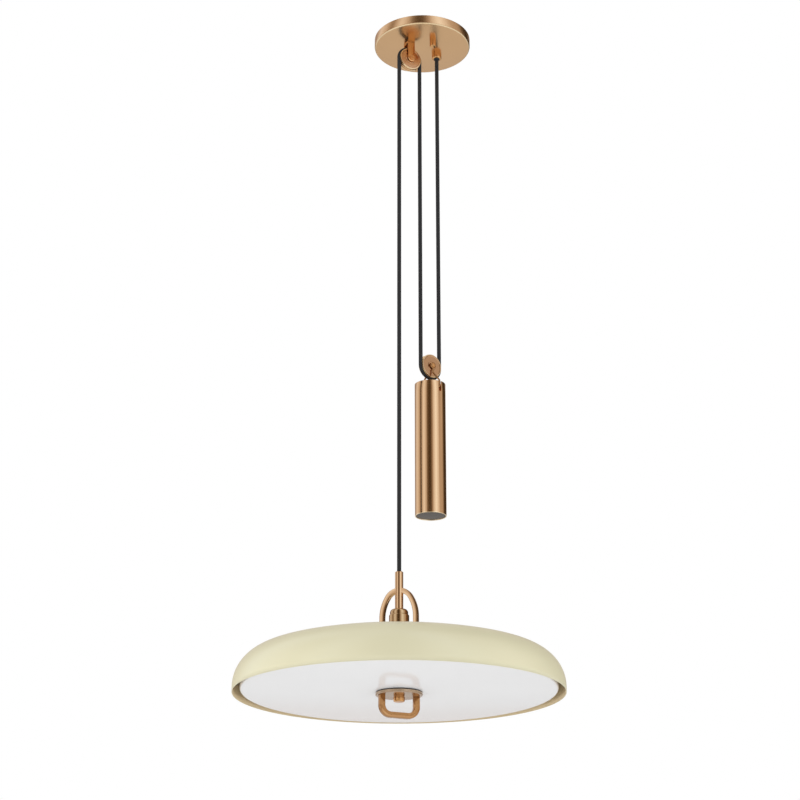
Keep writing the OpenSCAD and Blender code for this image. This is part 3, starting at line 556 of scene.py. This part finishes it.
barrel_edge_r = 0.0009
bar_brass = (0.76, 0.41, 0.165)
low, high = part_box("cap_nuts")
barrel_r = (high.x - low.x) / 2
barrel_at = high.y - barrel_r
barrel = [(0, low.z), (barrel_r, low.z), (barrel_r, high.z), (0, high.z)]
barrels = bmesh.new()
for side in (-1, 1):
    add_solid(barrels, turned(barrel, ((1, barrel_edge_r),), placed(0, side * barrel_at, 0), around=48))
nut_brass = metal("turned_brass_nuts", bar_brass, turned_piece=False, fineness=1200, depth=0.05,
                  roughness=0.15)
fitted(barrels, "barrel_nuts", [nut_brass], "canopy", ["cap_nuts"])


# ---- Upper pulley's yoke ----
# A strap of brass bent to a U, with a round eye at the end of each cheek for the axle. A nut above
# the canopy's floor holds its threaded stem.

cheek_w = 0.0126
cheek_t = 0.0024
eye_r = 0.0065
eye_steps = 40
cheek_out = 0.0087
cheek_bevel = 0.0005
yoke_stem_r = 0.004


def cheek(front):
    """One cheek: the outline of a bar with a round eye, given its thickness."""
    shape = bmesh.new()
    opening = atan2(cheek_w / 2, sqrt(eye_r ** 2 - (cheek_w / 2) ** 2))
    top = canopy_low - upper.z
    first = shape.verts.new((cheek_w / 2, 0, top))
    eye = shape.verts.new((cheek_w / 2, 0, eye_r * cos(opening)))
    shape.edges.new((first, eye))
    bmesh.ops.spin(shape, geom=[eye], cent=(0, 0, 0), axis=(0, 1, 0), angle=2 * (pi - opening),
                   steps=eye_steps, use_duplicate=False)
    last = min((vert for vert in shape.verts if len(vert.link_edges) == 1 and vert is not first),
               key=lambda vert: vert.co.x)
    final = shape.verts.new((-cheek_w / 2, 0, top))
    shape.edges.new((last, final))
    shape.edges.new((final, first))
    made = bmesh.ops.contextual_create(shape, geom=shape.edges[:])["faces"]
    grown = bmesh.ops.extrude_face_region(shape, geom=made)["geom"]
    bmesh.ops.translate(shape, vec=(0, cheek_t, 0), verts=verts_of(grown))
    bmesh.ops.translate(shape, vec=(0, -cheek_out if front else cheek_out - cheek_t, 0), verts=shape.verts)
    return shape


def softened(shape, width, segments=2, sharper_than=50):
    """Bevels every sharp edge of a shape."""
    bmesh.ops.recalc_face_normals(shape, faces=shape.faces)
    sharp = [edge for edge in shape.edges
             if edge.is_manifold and edge.calc_face_angle(0) > radians(sharper_than)]
    bmesh.ops.bevel(shape, geom=sharp, offset=width, affect="EDGES", segments=segments, profile=0.5,
                    material=-1)
    return shape


yoke = bmesh.new()
for front in (True, False):
    add_solid(yoke, softened(cheek(front), cheek_bevel))
saddle_z = canopy_low - upper.z - cheek_t / 2
saddle = bmesh.new()
bmesh.ops.create_cube(saddle, size=1)
bmesh.ops.scale(saddle, vec=(cheek_w, 2 * cheek_out, cheek_t), verts=saddle.verts)
bmesh.ops.translate(saddle, vec=(0, 0, saddle_z), verts=saddle.verts)
add_solid(yoke, softened(saddle, cheek_bevel))
stem_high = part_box("pulley_yoke")[1].z - upper.z
yoke_stem = [(0, saddle_z), (yoke_stem_r, saddle_z), (yoke_stem_r, stem_high), (0, stem_high)]
add_solid(yoke, turned(yoke_stem, ((2, cheek_bevel),), around=40))
bmesh.ops.transform(yoke, matrix=placed(*upper, upper_turn), verts=yoke.verts)
yoke_brass = metal("drawn_brass_yoke", bar_brass, tuple(upper), turned_piece=False, fineness=1400,
                   roughness=0.24)
fitted(yoke, "bent_yoke", [yoke_brass], "canopy", ["pulley_yoke"])


# ---- Pulleys ----
# Two turned brass sheaves with a round groove for the cord, a thin rim on each side of it with a painted
# highlight round its edge, and dished faces, each with a bronze bush that runs on a fixed axle.

sheave_r = 0.0193
sheave_w = 0.011
sheave_rim = 0.002
sheave_bore_r = 0.0045
hub_r = 0.0075
dish = 0.0006
groove_r = 0.00365
groove_steps = 14
wheel_steps = 96
axle_r = 0.0025
rim_highlight_w = 0.0012
no_height_limit = 1
sheave_brass = (0.68, 0.42, 0.235)
bronze = (0.38, 0.22, 0.09)


def sheave():
    """The groove's round bottom is spun in the outline, before the outline goes round the axle."""
    shape = bmesh.new()
    lip = sheave_r - sheave_rim
    half = sheave_w / 2
    start = shape.verts.new((sheave_r, 0, groove_r))
    upper_face = [(sheave_r, half), (lip, half), (lip - dish, half - dish), (hub_r + dish, half - dish),
                  (hub_r, half), (sheave_bore_r, half)]
    corners = [start] + [shape.verts.new((radius, 0, height)) for radius, height in upper_face]
    corners += [shape.verts.new((radius, 0, -height)) for radius, height in reversed(upper_face)]
    bottom = shape.verts.new((pitch_r, 0, -groove_r))
    corners += [shape.verts.new((sheave_r, 0, -groove_r)), bottom]
    for pair in zip(corners, corners[1:]):
        shape.edges.new(pair)
    bmesh.ops.spin(shape, geom=[bottom], cent=(pitch_r, 0, 0), axis=(0, 1, 0), angle=pi, steps=groove_steps,
                   use_duplicate=False)
    loose = [vert for vert in shape.verts if len(vert.link_edges) == 1]
    shape.edges.new(loose)
    bmesh.ops.spin(shape, geom=shape.verts[:] + shape.edges[:], cent=(0, 0, 0), axis=(0, 0, 1), angle=2 * pi,
                   steps=wheel_steps, use_merge=True)
    bmesh.ops.remove_doubles(shape, verts=shape.verts, dist=weld)
    return shape


bush = [(axle_r, -sheave_w / 2), (sheave_bore_r, -sheave_w / 2), (sheave_bore_r, sheave_w / 2),
        (axle_r, sheave_w / 2)]
for name, at, turned_by in (("upper", upper, upper_turn), ("lower", lower, lower_turn)):
    body = name + "_pulley"
    lean = (pi / 2, 0, turned_by)
    on_axle = placed(*at, turned_by) @ Matrix.Rotation(pi / 2, 4, "X")
    wheel = sheave()
    bmesh.ops.transform(wheel, matrix=on_axle, verts=wheel.verts)
    # Painted highlight: a brighter colour in a thin ring round the sheave's outer edge
    wheel_brass = metal("turned_brass_" + name, sheave_brass, tuple(at), lean, fineness=1600, depth=0.06,
                        roughness=0.2, edge=(sheave_r - rim_highlight_w, no_height_limit))
    fitted(wheel, name + "_pulley_sheave", [wheel_brass], body, [name + "_sheave"], soft_angle=30)
    bush_bronze = metal("bronze_" + name, bronze, tuple(at), lean, roughness=0.4)
    fitted(turned(bush, ((0, fine_round), (3, fine_round)), on_axle, around=40), name + "_plain_bush",
           [bush_bronze], body, [name + "_bush"])


# ---- Cord anchor ----
# A turned brass barrel with a rounded lower edge, screwed through the canopy. A black bush in its
# mouth keeps the cord from chafing.

anchor_edge_r = 0.0022
nipple_r = 0.005
bore_r = cord_d / 2 + 0.0002
mouth_round = 0.0008
bush_round = 0.0012


def mottled():
    """Node group: a fine grain or a broad cloud between two colours, with the relief of its grain. Amount
    is how far it is from the first colour to the second."""
    group, given, result = shader_group(
        "mottled",
        {"Vector": "Vector", "Scale": "Float", "First": "Color", "Second": "Color", "Depth": "Float",
         "Height": "Float"},
        {"Colour": "Color", "Amount": "Float", "Normal": "Vector"})
    given = given.outputs
    amount = noise(group, given["Vector"], given["Scale"])
    feed(group, result, {
        "Colour": mixed(group, amount, given["First"], given["Second"]),
        "Amount": amount,
        "Normal": relief(group, amount, given["Depth"], given["Height"]),
    })
    return group


mottle = mottled()


def moulded(name, colour, roughness=0.45):
    """Moulded plastic or rubber with a faint grain."""
    grain_scale = 900
    darker, lighter = 0.94, 1.04
    coat, tree, shader, where = new_coat(name)
    grain = laid(tree, mottle, {
        "Vector": where,
        "Scale": grain_scale,
        "First": (*[part * darker for part in colour], 1),
        "Second": (*[min(1, part * lighter) for part in colour], 1),
        "Depth": 0.15,
        "Height": 0.0001,
    })
    feed(tree, shader, {"Base Color": grain["Colour"], "Roughness": roughness, "Normal": grain["Normal"]})
    return coat


low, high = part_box("cord_anchor")
anchor_r = (high.x - low.x) / 2
anchor_outline = [(bore_r, low.z), (anchor_r, low.z), (anchor_r, canopy_low), (nipple_r, canopy_low),
                  (nipple_r, high.z), (bore_r, high.z)]
anchor_brass = metal("turned_brass_anchor", bar_brass, tuple(anchor), turned_piece=False, fineness=1200,
                     depth=0.05, roughness=0.15)
on_anchor = placed(anchor.x, anchor.y, 0)
fitted(turned(anchor_outline, ((1, anchor_edge_r),), on_anchor, around=64), "anchor_barrel", [anchor_brass],
       "canopy", ["cord_anchor"])

black_moulded = moulded("black_moulded", (0.025, 0.025, 0.025))
low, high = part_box("anchor_bush")
bush_r = (high.x - low.x) / 2
mouth = [(bore_r, low.z), (bush_r, low.z), (bush_r, high.z), (bore_r, high.z)]
fitted(turned(mouth, ((0, mouth_round), (1, bush_round)), on_anchor, around=48), "cord_mouth",
       [black_moulded], "canopy", ["anchor_bush"])


# ---- Counterweight ----
# A length of brass tube round a heavy core. A notch on each side of its open top takes a leg of the
# bail, and a dark disc closes the lower end.

notch_w = 0.005
notch_l = 0.0175
notch_steps = 8
tube_wall = 0.0015
tube_highlight_h = 0.001
base_round = 0.0006
dark_grey = (0.13, 0.115, 0.105)

low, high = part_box("weight_tube")
weight_top, weight_low = high.z, low.z
weight_r = (high.x - low.x) / 2
notch_z = weight_top - notch_l + notch_w / 2
tube = bmesh.new()
bmesh.ops.create_circle(tube, segments=128, radius=weight_r)
bmesh.ops.translate(tube, verts=tube.verts, vec=(0, 0, weight_low))
grown = bmesh.ops.extrude_edge_only(tube, edges=tube.edges[:])["geom"]
bmesh.ops.translate(tube, vec=(0, 0, weight_top - weight_low), verts=verts_of(grown))
cuts = [((0, 0, notch_z), (0, 0, 1))]
cuts += [((notch_w / 2 * cos(pi * i / notch_steps), 0, 0), (1, 0, 0)) for i in range(notch_steps + 1)]
for point, normal in cuts:
    bmesh.ops.bisect_plane(tube, geom=tube.verts[:] + tube.edges[:] + tube.faces[:], plane_co=point,
                           plane_no=normal)
inside = [face for face in tube.faces
          if abs(face.calc_center_median().x) < notch_w / 2 and face.calc_center_median().z > notch_z]
bmesh.ops.delete(tube, geom=inside, context="FACES")
for vert in tube.verts:
    if abs(vert.co.x) < notch_w / 2 - weld and abs(vert.co.z - notch_z) < weld:
        vert.co.z -= sqrt((notch_w / 2) ** 2 - vert.co.x ** 2)
bmesh.ops.transform(tube, matrix=placed(lower.x, lower.y, 0, lower_turn), verts=tube.verts)
# Painted highlight: a brighter colour in a thin band along the tube's lower edge
weight_brass = metal("drawn_brass_weight", brass, (lower.x, lower.y, 0), turned_piece=False, fineness=700,
                     depth=0.04, roughness=0.13, edge=(0, weight_low + tube_highlight_h))
weight_tube = fitted(tube, "weight_shell", [weight_brass], "counterweight", ["weight_tube"])
wall = weight_tube.modifiers.new("wall", "SOLIDIFY")
wall.thickness = tube_wall
wall.offset = -1
edge_round = weight_tube.modifiers.new("edges", "BEVEL")
edge_round.width = fine_round
edge_round.segments = 2
edge_round.limit_method = "ANGLE"
edge_round.angle_limit = radians(60)

low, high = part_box("weight_base")
base_r = (high.x - low.x) / 2
disc = [(0, low.z), (base_r, low.z), (base_r, high.z), (0, high.z)]
disc_metal = metal("dark_turned_disc", dark_grey, (lower.x, lower.y, 0), fineness=500, roughness=0.42)
fitted(turned(disc, ((1, base_round),), placed(lower.x, lower.y, 0)), "closing_disc", [disc_metal],
       "counterweight", ["weight_base"])


# ---- Bail ----
# Brass wire bent to an eye on each end of the lower axle. Below the eye it runs out to the tube's
# side and down in the notch, and hooks into the core. A button on each end of the axle keeps it on.

wire_d = 0.0028
wire_sides = 16
wire_bend_r = 0.004
wire_lap = wire_d / 5
eye_mid_r = 0.004
eye_y = 0.0077
neck_l = 0.0085
slope = radians(42)
leg_y = weight_r - wire_d / 2
hook_depth = 0.010
hook_l = 0.006
button_r = 0.0035
button_h = 0.0012
button_round = 0.0007
# Darker than the other brass: painted shade on the thin bail wire
bail_painted_shade_brass = (0.50, 0.27, 0.11)

reach = leg_y - eye_y
tangent = wire_bend_r * sin(slope / 2) / cos(slope / 2)
slope_l = reach / sin(slope) - 2 * tangent
leg_top = -eye_mid_r - neck_l - reach * cos(slope) / sin(slope)
leg_l = leg_top - (weight_top - hook_depth - lower.z) - tangent - wire_bend_r
bail = bmesh.new()
for side in (0, pi):
    eye = Stock((eye_mid_r, eye_y, 0), (0, 0, 1), (0, 1, 0), wire_d, wire_sides)
    eye.bend((-1, 0, 0), eye_mid_r, 2 * pi, eye_steps)
    ends = [face for face in eye.shape.faces if len(face.verts) == wire_sides]
    bmesh.ops.delete(eye.shape, geom=ends, context="FACES_ONLY")
    leg = Stock((0, eye_y, wire_lap - eye_mid_r), (0, 0, -1), (0, 1, 0), wire_d, wire_sides)
    leg.straight(neck_l + wire_lap - tangent).bend((0, 1, 0), wire_bend_r, slope)
    leg.straight(slope_l).bend(leg.heading.cross(Vector((1, 0, 0))), wire_bend_r, slope)
    leg.straight(leg_l).bend((0, -1, 0), wire_bend_r, pi / 2).straight(hook_l)
    for part in (eye, leg):
        bmesh.ops.transform(part.shape, matrix=placed(*lower, lower_turn + side), verts=part.shape.verts)
        add_solid(bail, part.shape)
bail_brass = metal("drawn_brass_bail", bail_painted_shade_brass, tuple(lower), turned_piece=False, fineness=1800,
                   roughness=0.14)
fitted(bail, "wire_bail", [bail_brass], "counterweight", ["weight_bail"])

outwards = Matrix.Rotation(pi / 2, 4, "X") @ Matrix.Translation((0, 0, eye_y + wire_d / 2))
button = [(0, 0), (button_r, 0), (button_r, button_h), (0, button_h)]
buttons = bmesh.new()
for side in (0, pi):
    facing = placed(*lower, lower_turn + side) @ outwards
    add_solid(buttons, turned(button, ((2, button_round),), facing, around=40))
button_brass = metal("turned_brass_buttons", bar_brass, tuple(lower), (pi / 2, 0, lower_turn))
fitted(buttons, "axle_buttons", [button_brass], "counterweight", ["axle_caps"])


# ---- Stem ----
# A turned brass tube with a small bevel at its mouth. The cord goes down into it through a black
# grip, which a set screw holds.

stem_bevel = 0.0008
grip_r = 0.0051
lamp_axis = placed(lamp_at.x, lamp_at.y, 0)
low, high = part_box("stem")
stem_r = (high.x - low.x) / 2
stem_outline = [(grip_r, low.z), (stem_r, low.z), (stem_r, high.z - stem_bevel),
                (stem_r - stem_bevel, high.z), (grip_r, high.z)]
stem_brass = metal("turned_brass_stem", brass, tuple(lamp_at), turned_piece=False, fineness=1300, depth=0.05,
                   roughness=0.1)
fitted(turned(stem_outline, (), lamp_axis, around=72), "stem_tube", [stem_brass], "lamp", ["stem"],
       soft_angle=25)


# ---- Cap and cup ----
# Two spun brass shells on the lamp's middle: a rounded cap, and under it a plain cup with a small
# shoulder that stands on the shade.

cap_round = 0.0055
cup_round = 0.002
cup_wall = 0.0012
# Darker than the other brass: painted shade on the cap and the cup
cup_painted_shade_brass = (0.58, 0.38, 0.19)

low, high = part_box("cap")
cap_r = (high.x - low.x) / 2
cap_outline = [(nipple_r, high.z), (cap_r, high.z), (cap_r, low.z), (nipple_r, low.z)]
cap_metal = metal("spun_brass_cap", cup_painted_shade_brass, tuple(lamp_at), depth=0.05, roughness=0.15)
fitted(turned(cap_outline, ((1, cap_round),), lamp_axis, segments=12), "rounded_cap", [cap_metal], "lamp",
       ["cap"])

low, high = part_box("cup")
cup_r = (high.x - low.x) / 2
cup_outline = [(nipple_r, high.z), (cup_r, high.z), (cup_r, low.z), (cup_r - cup_wall, low.z),
               (cup_r - cup_wall, high.z - cup_wall), (nipple_r, high.z - cup_wall)]
cup_metal = metal("spun_brass_cup", cup_painted_shade_brass, tuple(lamp_at), depth=0.05, roughness=0.15)
fitted(turned(cup_outline, ((1, cup_round),), lamp_axis, segments=8), "plain_cup", [cup_metal], "lamp",
       ["cup"])


# ---- Arch ----
# Square brass bar bent to an arch of three arcs over the cup, with its edges eased. The stem passes
# through its crown, and a screw from inside the shade holds each foot.

arch_turn = radians(-50)
bar = 0.0076
bar_ease = 0.0006
arch_w = 0.0624
arch_rise = 0.042
arch_side_r = 0.060
arch_side_steps = 12
arch_crown_steps = 36

arch_mid = (arch_w - bar) / 2
low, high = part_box("arch")
arch_base = high.z - bar / 2 - arch_rise
foot_l = arch_base - low.z
side_past = arch_side_r - arch_mid
side_short = arch_side_r - arch_rise
crown_up = (side_past ** 2 - side_short ** 2) / (2 * side_short)
crown_from = atan2(crown_up, side_past)
arch = Stock((arch_mid, 0, low.z), (0, 0, 1), (1, 0, 0), bar, sides=4)
arch.straight(foot_l).bend((-1, 0, 0), arch_side_r, crown_from, arch_side_steps)
arch.bend_on(arch_rise - crown_up, pi - 2 * crown_from, arch_crown_steps)
arch.bend_on(arch_side_r, crown_from, arch_side_steps).straight(foot_l)
bmesh.ops.transform(softened(arch.shape, bar_ease), matrix=lamp_axis @ Matrix.Rotation(arch_turn, 4, "Z"),
                    verts=arch.shape.verts)
arch_brass = metal("drawn_brass_arch", brass, (lamp_at.x, lamp_at.y, arch_base + crown_up),
                   (pi / 2, 0, arch_turn), fineness=900, depth=0.05, roughness=0.13)
fitted(arch.shape, "bar_arch", [arch_brass], "lamp", ["arch"])


# ---- Shade ----
# Spun aluminium: a very flat dome that rolls into a rounded corner and a short upright wall. It is
# painted cream outside, and the inside is a dull gold.

corner_r = 0.057
corner_sweep = radians(75)
wall_h = 0.0084
shade_t = 0.001
hub_hole_r = 0.0052
dome_steps = 24
corner_steps = 32
shade_around = 192

low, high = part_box("shade")
shade_r, rim_z, shade_top = (high.x - low.x) / 2, low.z, high.z
dome_r = (shade_r - corner_r * (1 - cos(corner_sweep))) / cos(corner_sweep)
dome_z = shade_top - dome_r


def cream_paint():
    """Smooth enamel with the faintest orange peel, in broad clouds of two near creams."""
    cloud_scale, peel_scale = 9, 260
    creams = {"First": (0.775, 0.732, 0.500, 1), "Second": (0.805, 0.762, 0.530, 1)}
    coat, tree, shader, where = new_coat("cream_enamel")
    cloud = laid(tree, mottle, {"Vector": where, "Scale": cloud_scale, **creams})
    peel = laid(tree, mottle, {"Vector": where, "Scale": peel_scale, "Depth": 0.05, "Height": 0.0004})
    rough = tree.nodes.new("ShaderNodeMapRange")
    feed(tree, rough, {"Value": cloud["Amount"], "To Min": 0.30, "To Max": 0.40})
    feed(tree, shader, {
        "Base Color": cloud["Colour"],
        "Roughness": rough.outputs["Result"],
        "Coat Weight": 0.3,
        "Coat Roughness": 0.12,
        "Normal": peel["Normal"],
    })
    return coat


def dull_gold():
    """Thin gold lacquer on the inside, almost without shine."""
    coat = metal("dull_gold_inside", (0.70, 0.55, 0.32), tuple(lamp_at), fineness=300, roughness=0.5)
    feed(coat.node_tree, coat.node_tree.nodes["Principled BSDF"], {"Metallic": 0.1})
    return coat


cream_coat = cream_paint()
shade = bmesh.new()
top = shade.verts.new((hub_hole_r, 0, dome_z + sqrt(dome_r ** 2 - hub_hole_r ** 2)))
dome_sweep = pi / 2 - corner_sweep - atan2(hub_hole_r, dome_r)
dome_end = bmesh.ops.spin(shade, geom=[top], cent=(0, 0, dome_z), axis=(0, 1, 0), angle=dome_sweep,
                          steps=dome_steps, use_duplicate=False)["geom_last"]
corner_end = bmesh.ops.spin(shade, geom=verts_of(dome_end), cent=(shade_r - corner_r, 0, rim_z + wall_h),
                            axis=(0, 1, 0), angle=corner_sweep, steps=corner_steps,
                            use_duplicate=False)["geom_last"]
shade.edges.new((*verts_of(corner_end), shade.verts.new((shade_r, 0, rim_z))))
bmesh.ops.spin(shade, geom=shade.verts[:] + shade.edges[:], cent=(0, 0, 0), axis=(0, 0, 1), angle=2 * pi,
               steps=shade_around, use_merge=True)
bmesh.ops.transform(shade, verts=shade.verts, matrix=lamp_axis)
shade_piece = fitted(shade, "spun_shade", [cream_coat, dull_gold()], "lamp", ["shade"])
skin = shade_piece.modifiers.new("sheet", "SOLIDIFY")
skin.thickness = shade_t
skin.offset = -1
skin.material_offset = 1
skin.material_offset_rim = 0


# ---- Diffuser ----
# A flat opal tray with a turned up edge, glossy below, held up against its seat by the cover. It hangs
# one degree out of level, lower at the side away from the camera, as in the photograph.

tray_t = 0.0025
tray_round = 0.003
tray_lean = radians(1)
lip_h = 0.012
lip_round = 0.0008
hole_r = 0.0041


def opal():
    """Opal acrylic: glossy, in broad clouds of two near whites."""
    cloud_scale = 14
    whites = {"First": (0.86, 0.86, 0.865, 1), "Second": (0.88, 0.88, 0.88, 1)}
    coat, tree, shader, where = new_coat("opal_acrylic")
    cloud = laid(tree, mottle, {"Vector": where, "Scale": cloud_scale, **whites})
    feed(tree, shader, {"Base Color": cloud["Colour"], "Roughness": 0.12, "Specular IOR Level": 0.25})
    return coat


opal_coat = opal()
low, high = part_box("diffuser")
tray_r = (high.x - low.x) / 2
tray = [(hole_r, low.z), (tray_r, low.z), (tray_r, low.z + lip_h), (tray_r - tray_t, low.z + lip_h),
        (tray_r - tray_t, low.z + tray_t), (hole_r, low.z + tray_t)]
tray_rounds = ((1, tray_round), (2, lip_round), (3, lip_round))
leaning = Matrix.Rotation(tray_lean, 4, (-cos(turn), -sin(turn), 0))
hung = lamp_axis @ Matrix.Translation((0, 0, low.z)) @ leaning @ Matrix.Translation((0, 0, -low.z))
fitted(turned(tray, tray_rounds, hung, around=192, segments=6), "opal_tray", [opal_coat], "lamp",
       ["diffuser"])


# ---- Cover ----
# A shallow spun brass cap under the diffuser, with a black washer above it. It holds the diffuser up
# and carries the handle.

cover_round = 0.0018
# Greyer and darker than the other brass: painted reflection of the dark room in the cover's underside
cover_painted_reflection_brass = (0.52, 0.38, 0.26)
low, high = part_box("cover")
cover_r, cover_low, cover_top = (high.x - low.x) / 2, low.z, high.z
cover_outline = [(hole_r, cover_low), (cover_r, cover_low), (cover_r, cover_top),
                 (cover_r - cup_wall, cover_top), (cover_r - cup_wall, cover_low + cup_wall),
                 (hole_r, cover_low + cup_wall)]
cover_metal = metal("spun_brass_cover", cover_painted_reflection_brass, tuple(lamp_at), fineness=900, roughness=0.2)
cover_rounds = ((1, cover_round), (2, fine_round))
fitted(turned(cover_outline, cover_rounds, lamp_axis, around=128, segments=6), "spun_cover", [cover_metal],
       "lamp", ["cover"])


# ---- Handle ----
# Heavier square brass bar bent to a U with wide corners, screwed on the cover from inside. The lamp is
# pulled up and down by it.

handle_turn = radians(-5)
handle_bar = 0.0085
handle_w = 0.066
handle_corner_r = 0.0185
handle_steps = 20
# Darker than the other brass: painted shade on the handle
handle_painted_shade_brass = (0.50, 0.255, 0.10)

handle_mid = (handle_w - handle_bar) / 2
corner_mid = handle_corner_r - handle_bar / 2
handle_leg = cover_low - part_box("handle")[0].z - handle_corner_r
handle = Stock((handle_mid, 0, cover_low), (0, 0, -1), (1, 0, 0), handle_bar, sides=4)
handle.straight(handle_leg).bend((-1, 0, 0), corner_mid, pi / 2, handle_steps)
handle.straight(2 * (handle_mid - corner_mid)).bend((0, 0, 1), corner_mid, pi / 2, handle_steps)
handle.straight(handle_leg)
bmesh.ops.transform(softened(handle.shape, bar_ease), verts=handle.shape.verts,
                    matrix=lamp_axis @ Matrix.Rotation(handle_turn, 4, "Z"))
handle_metal = metal("drawn_brass_handle", handle_painted_shade_brass, tuple(lamp_at), (0, 0, handle_turn),
                     turned_piece=False, fineness=900, depth=0.05, roughness=0.16)
fitted(handle.shape, "pull_handle", [handle_metal], "lamp", ["handle"])


# ---- Finial ----
# A turned knob on a short neck, screwed on the end of the lamp's middle post. It holds the cover up
# against the diffuser.

knob_round = 0.0022
knob_edge = 0.0006
finial_brass = metal("turned_brass_finial", bar_brass, tuple(lamp_at), fineness=1400, depth=0.05,
                     roughness=0.14)
low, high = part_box("finial_neck")
neck_r = (high.x - low.x) / 2
neck = [(hole_r, low.z), (neck_r, low.z), (neck_r, high.z), (hole_r, high.z)]
fitted(turned(neck, (), lamp_axis, around=64), "finial_collar", [finial_brass], "lamp", ["finial_neck"])
low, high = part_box("finial")
knob_r = (high.x - low.x) / 2
knob = [(0, low.z), (knob_r, low.z), (knob_r, high.z), (0, high.z)]
knob_rounds = ((1, knob_round), (2, knob_edge))
fitted(turned(knob, knob_rounds, lamp_axis, around=64, segments=6), "finial_knob", [finial_brass], "lamp",
       ["finial"])


# ---- Parts inside ----
# What the canopy, the weight and the shade hide: plated steel, aluminium plate, white plastic and
# light sources. They keep their CAD shapes and get their finishes here.

zinc = (0.58, 0.58, 0.60)
aluminium = (0.78, 0.78, 0.79)
core_grey = (0.13, 0.12, 0.11)
inner = {
    "satin_brass": metal("plain_brass", bar_brass, fineness=1200, turned_piece=False),
    "bronze": metal("plain_bronze", bronze, roughness=0.4),
    "steel": metal("plated_steel", zinc, fineness=600, turned_piece=False, roughness=0.34),
    "plate_aluminium": metal("plate_aluminium", aluminium, fineness=400, turned_piece=False, roughness=0.4),
    "dark_steel": metal("dark_steel", core_grey, roughness=0.42),
    "cream_paint": cream_coat,
    "opal": opal_coat,
    "black_cord": cord_coat,
    "black_plastic": black_moulded,
    "black_rubber": moulded("black_rubber", (0.06, 0.055, 0.05), 0.6),
    "white_plastic": moulded("white_moulded", (0.80, 0.80, 0.78)),
    "light_yellow": moulded("light_yellow", (0.85, 0.72, 0.22), 0.3),
}
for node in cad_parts.values():
    for held in node.material_slots:
        held.material = inner[held.material.name.split(".")[0]]
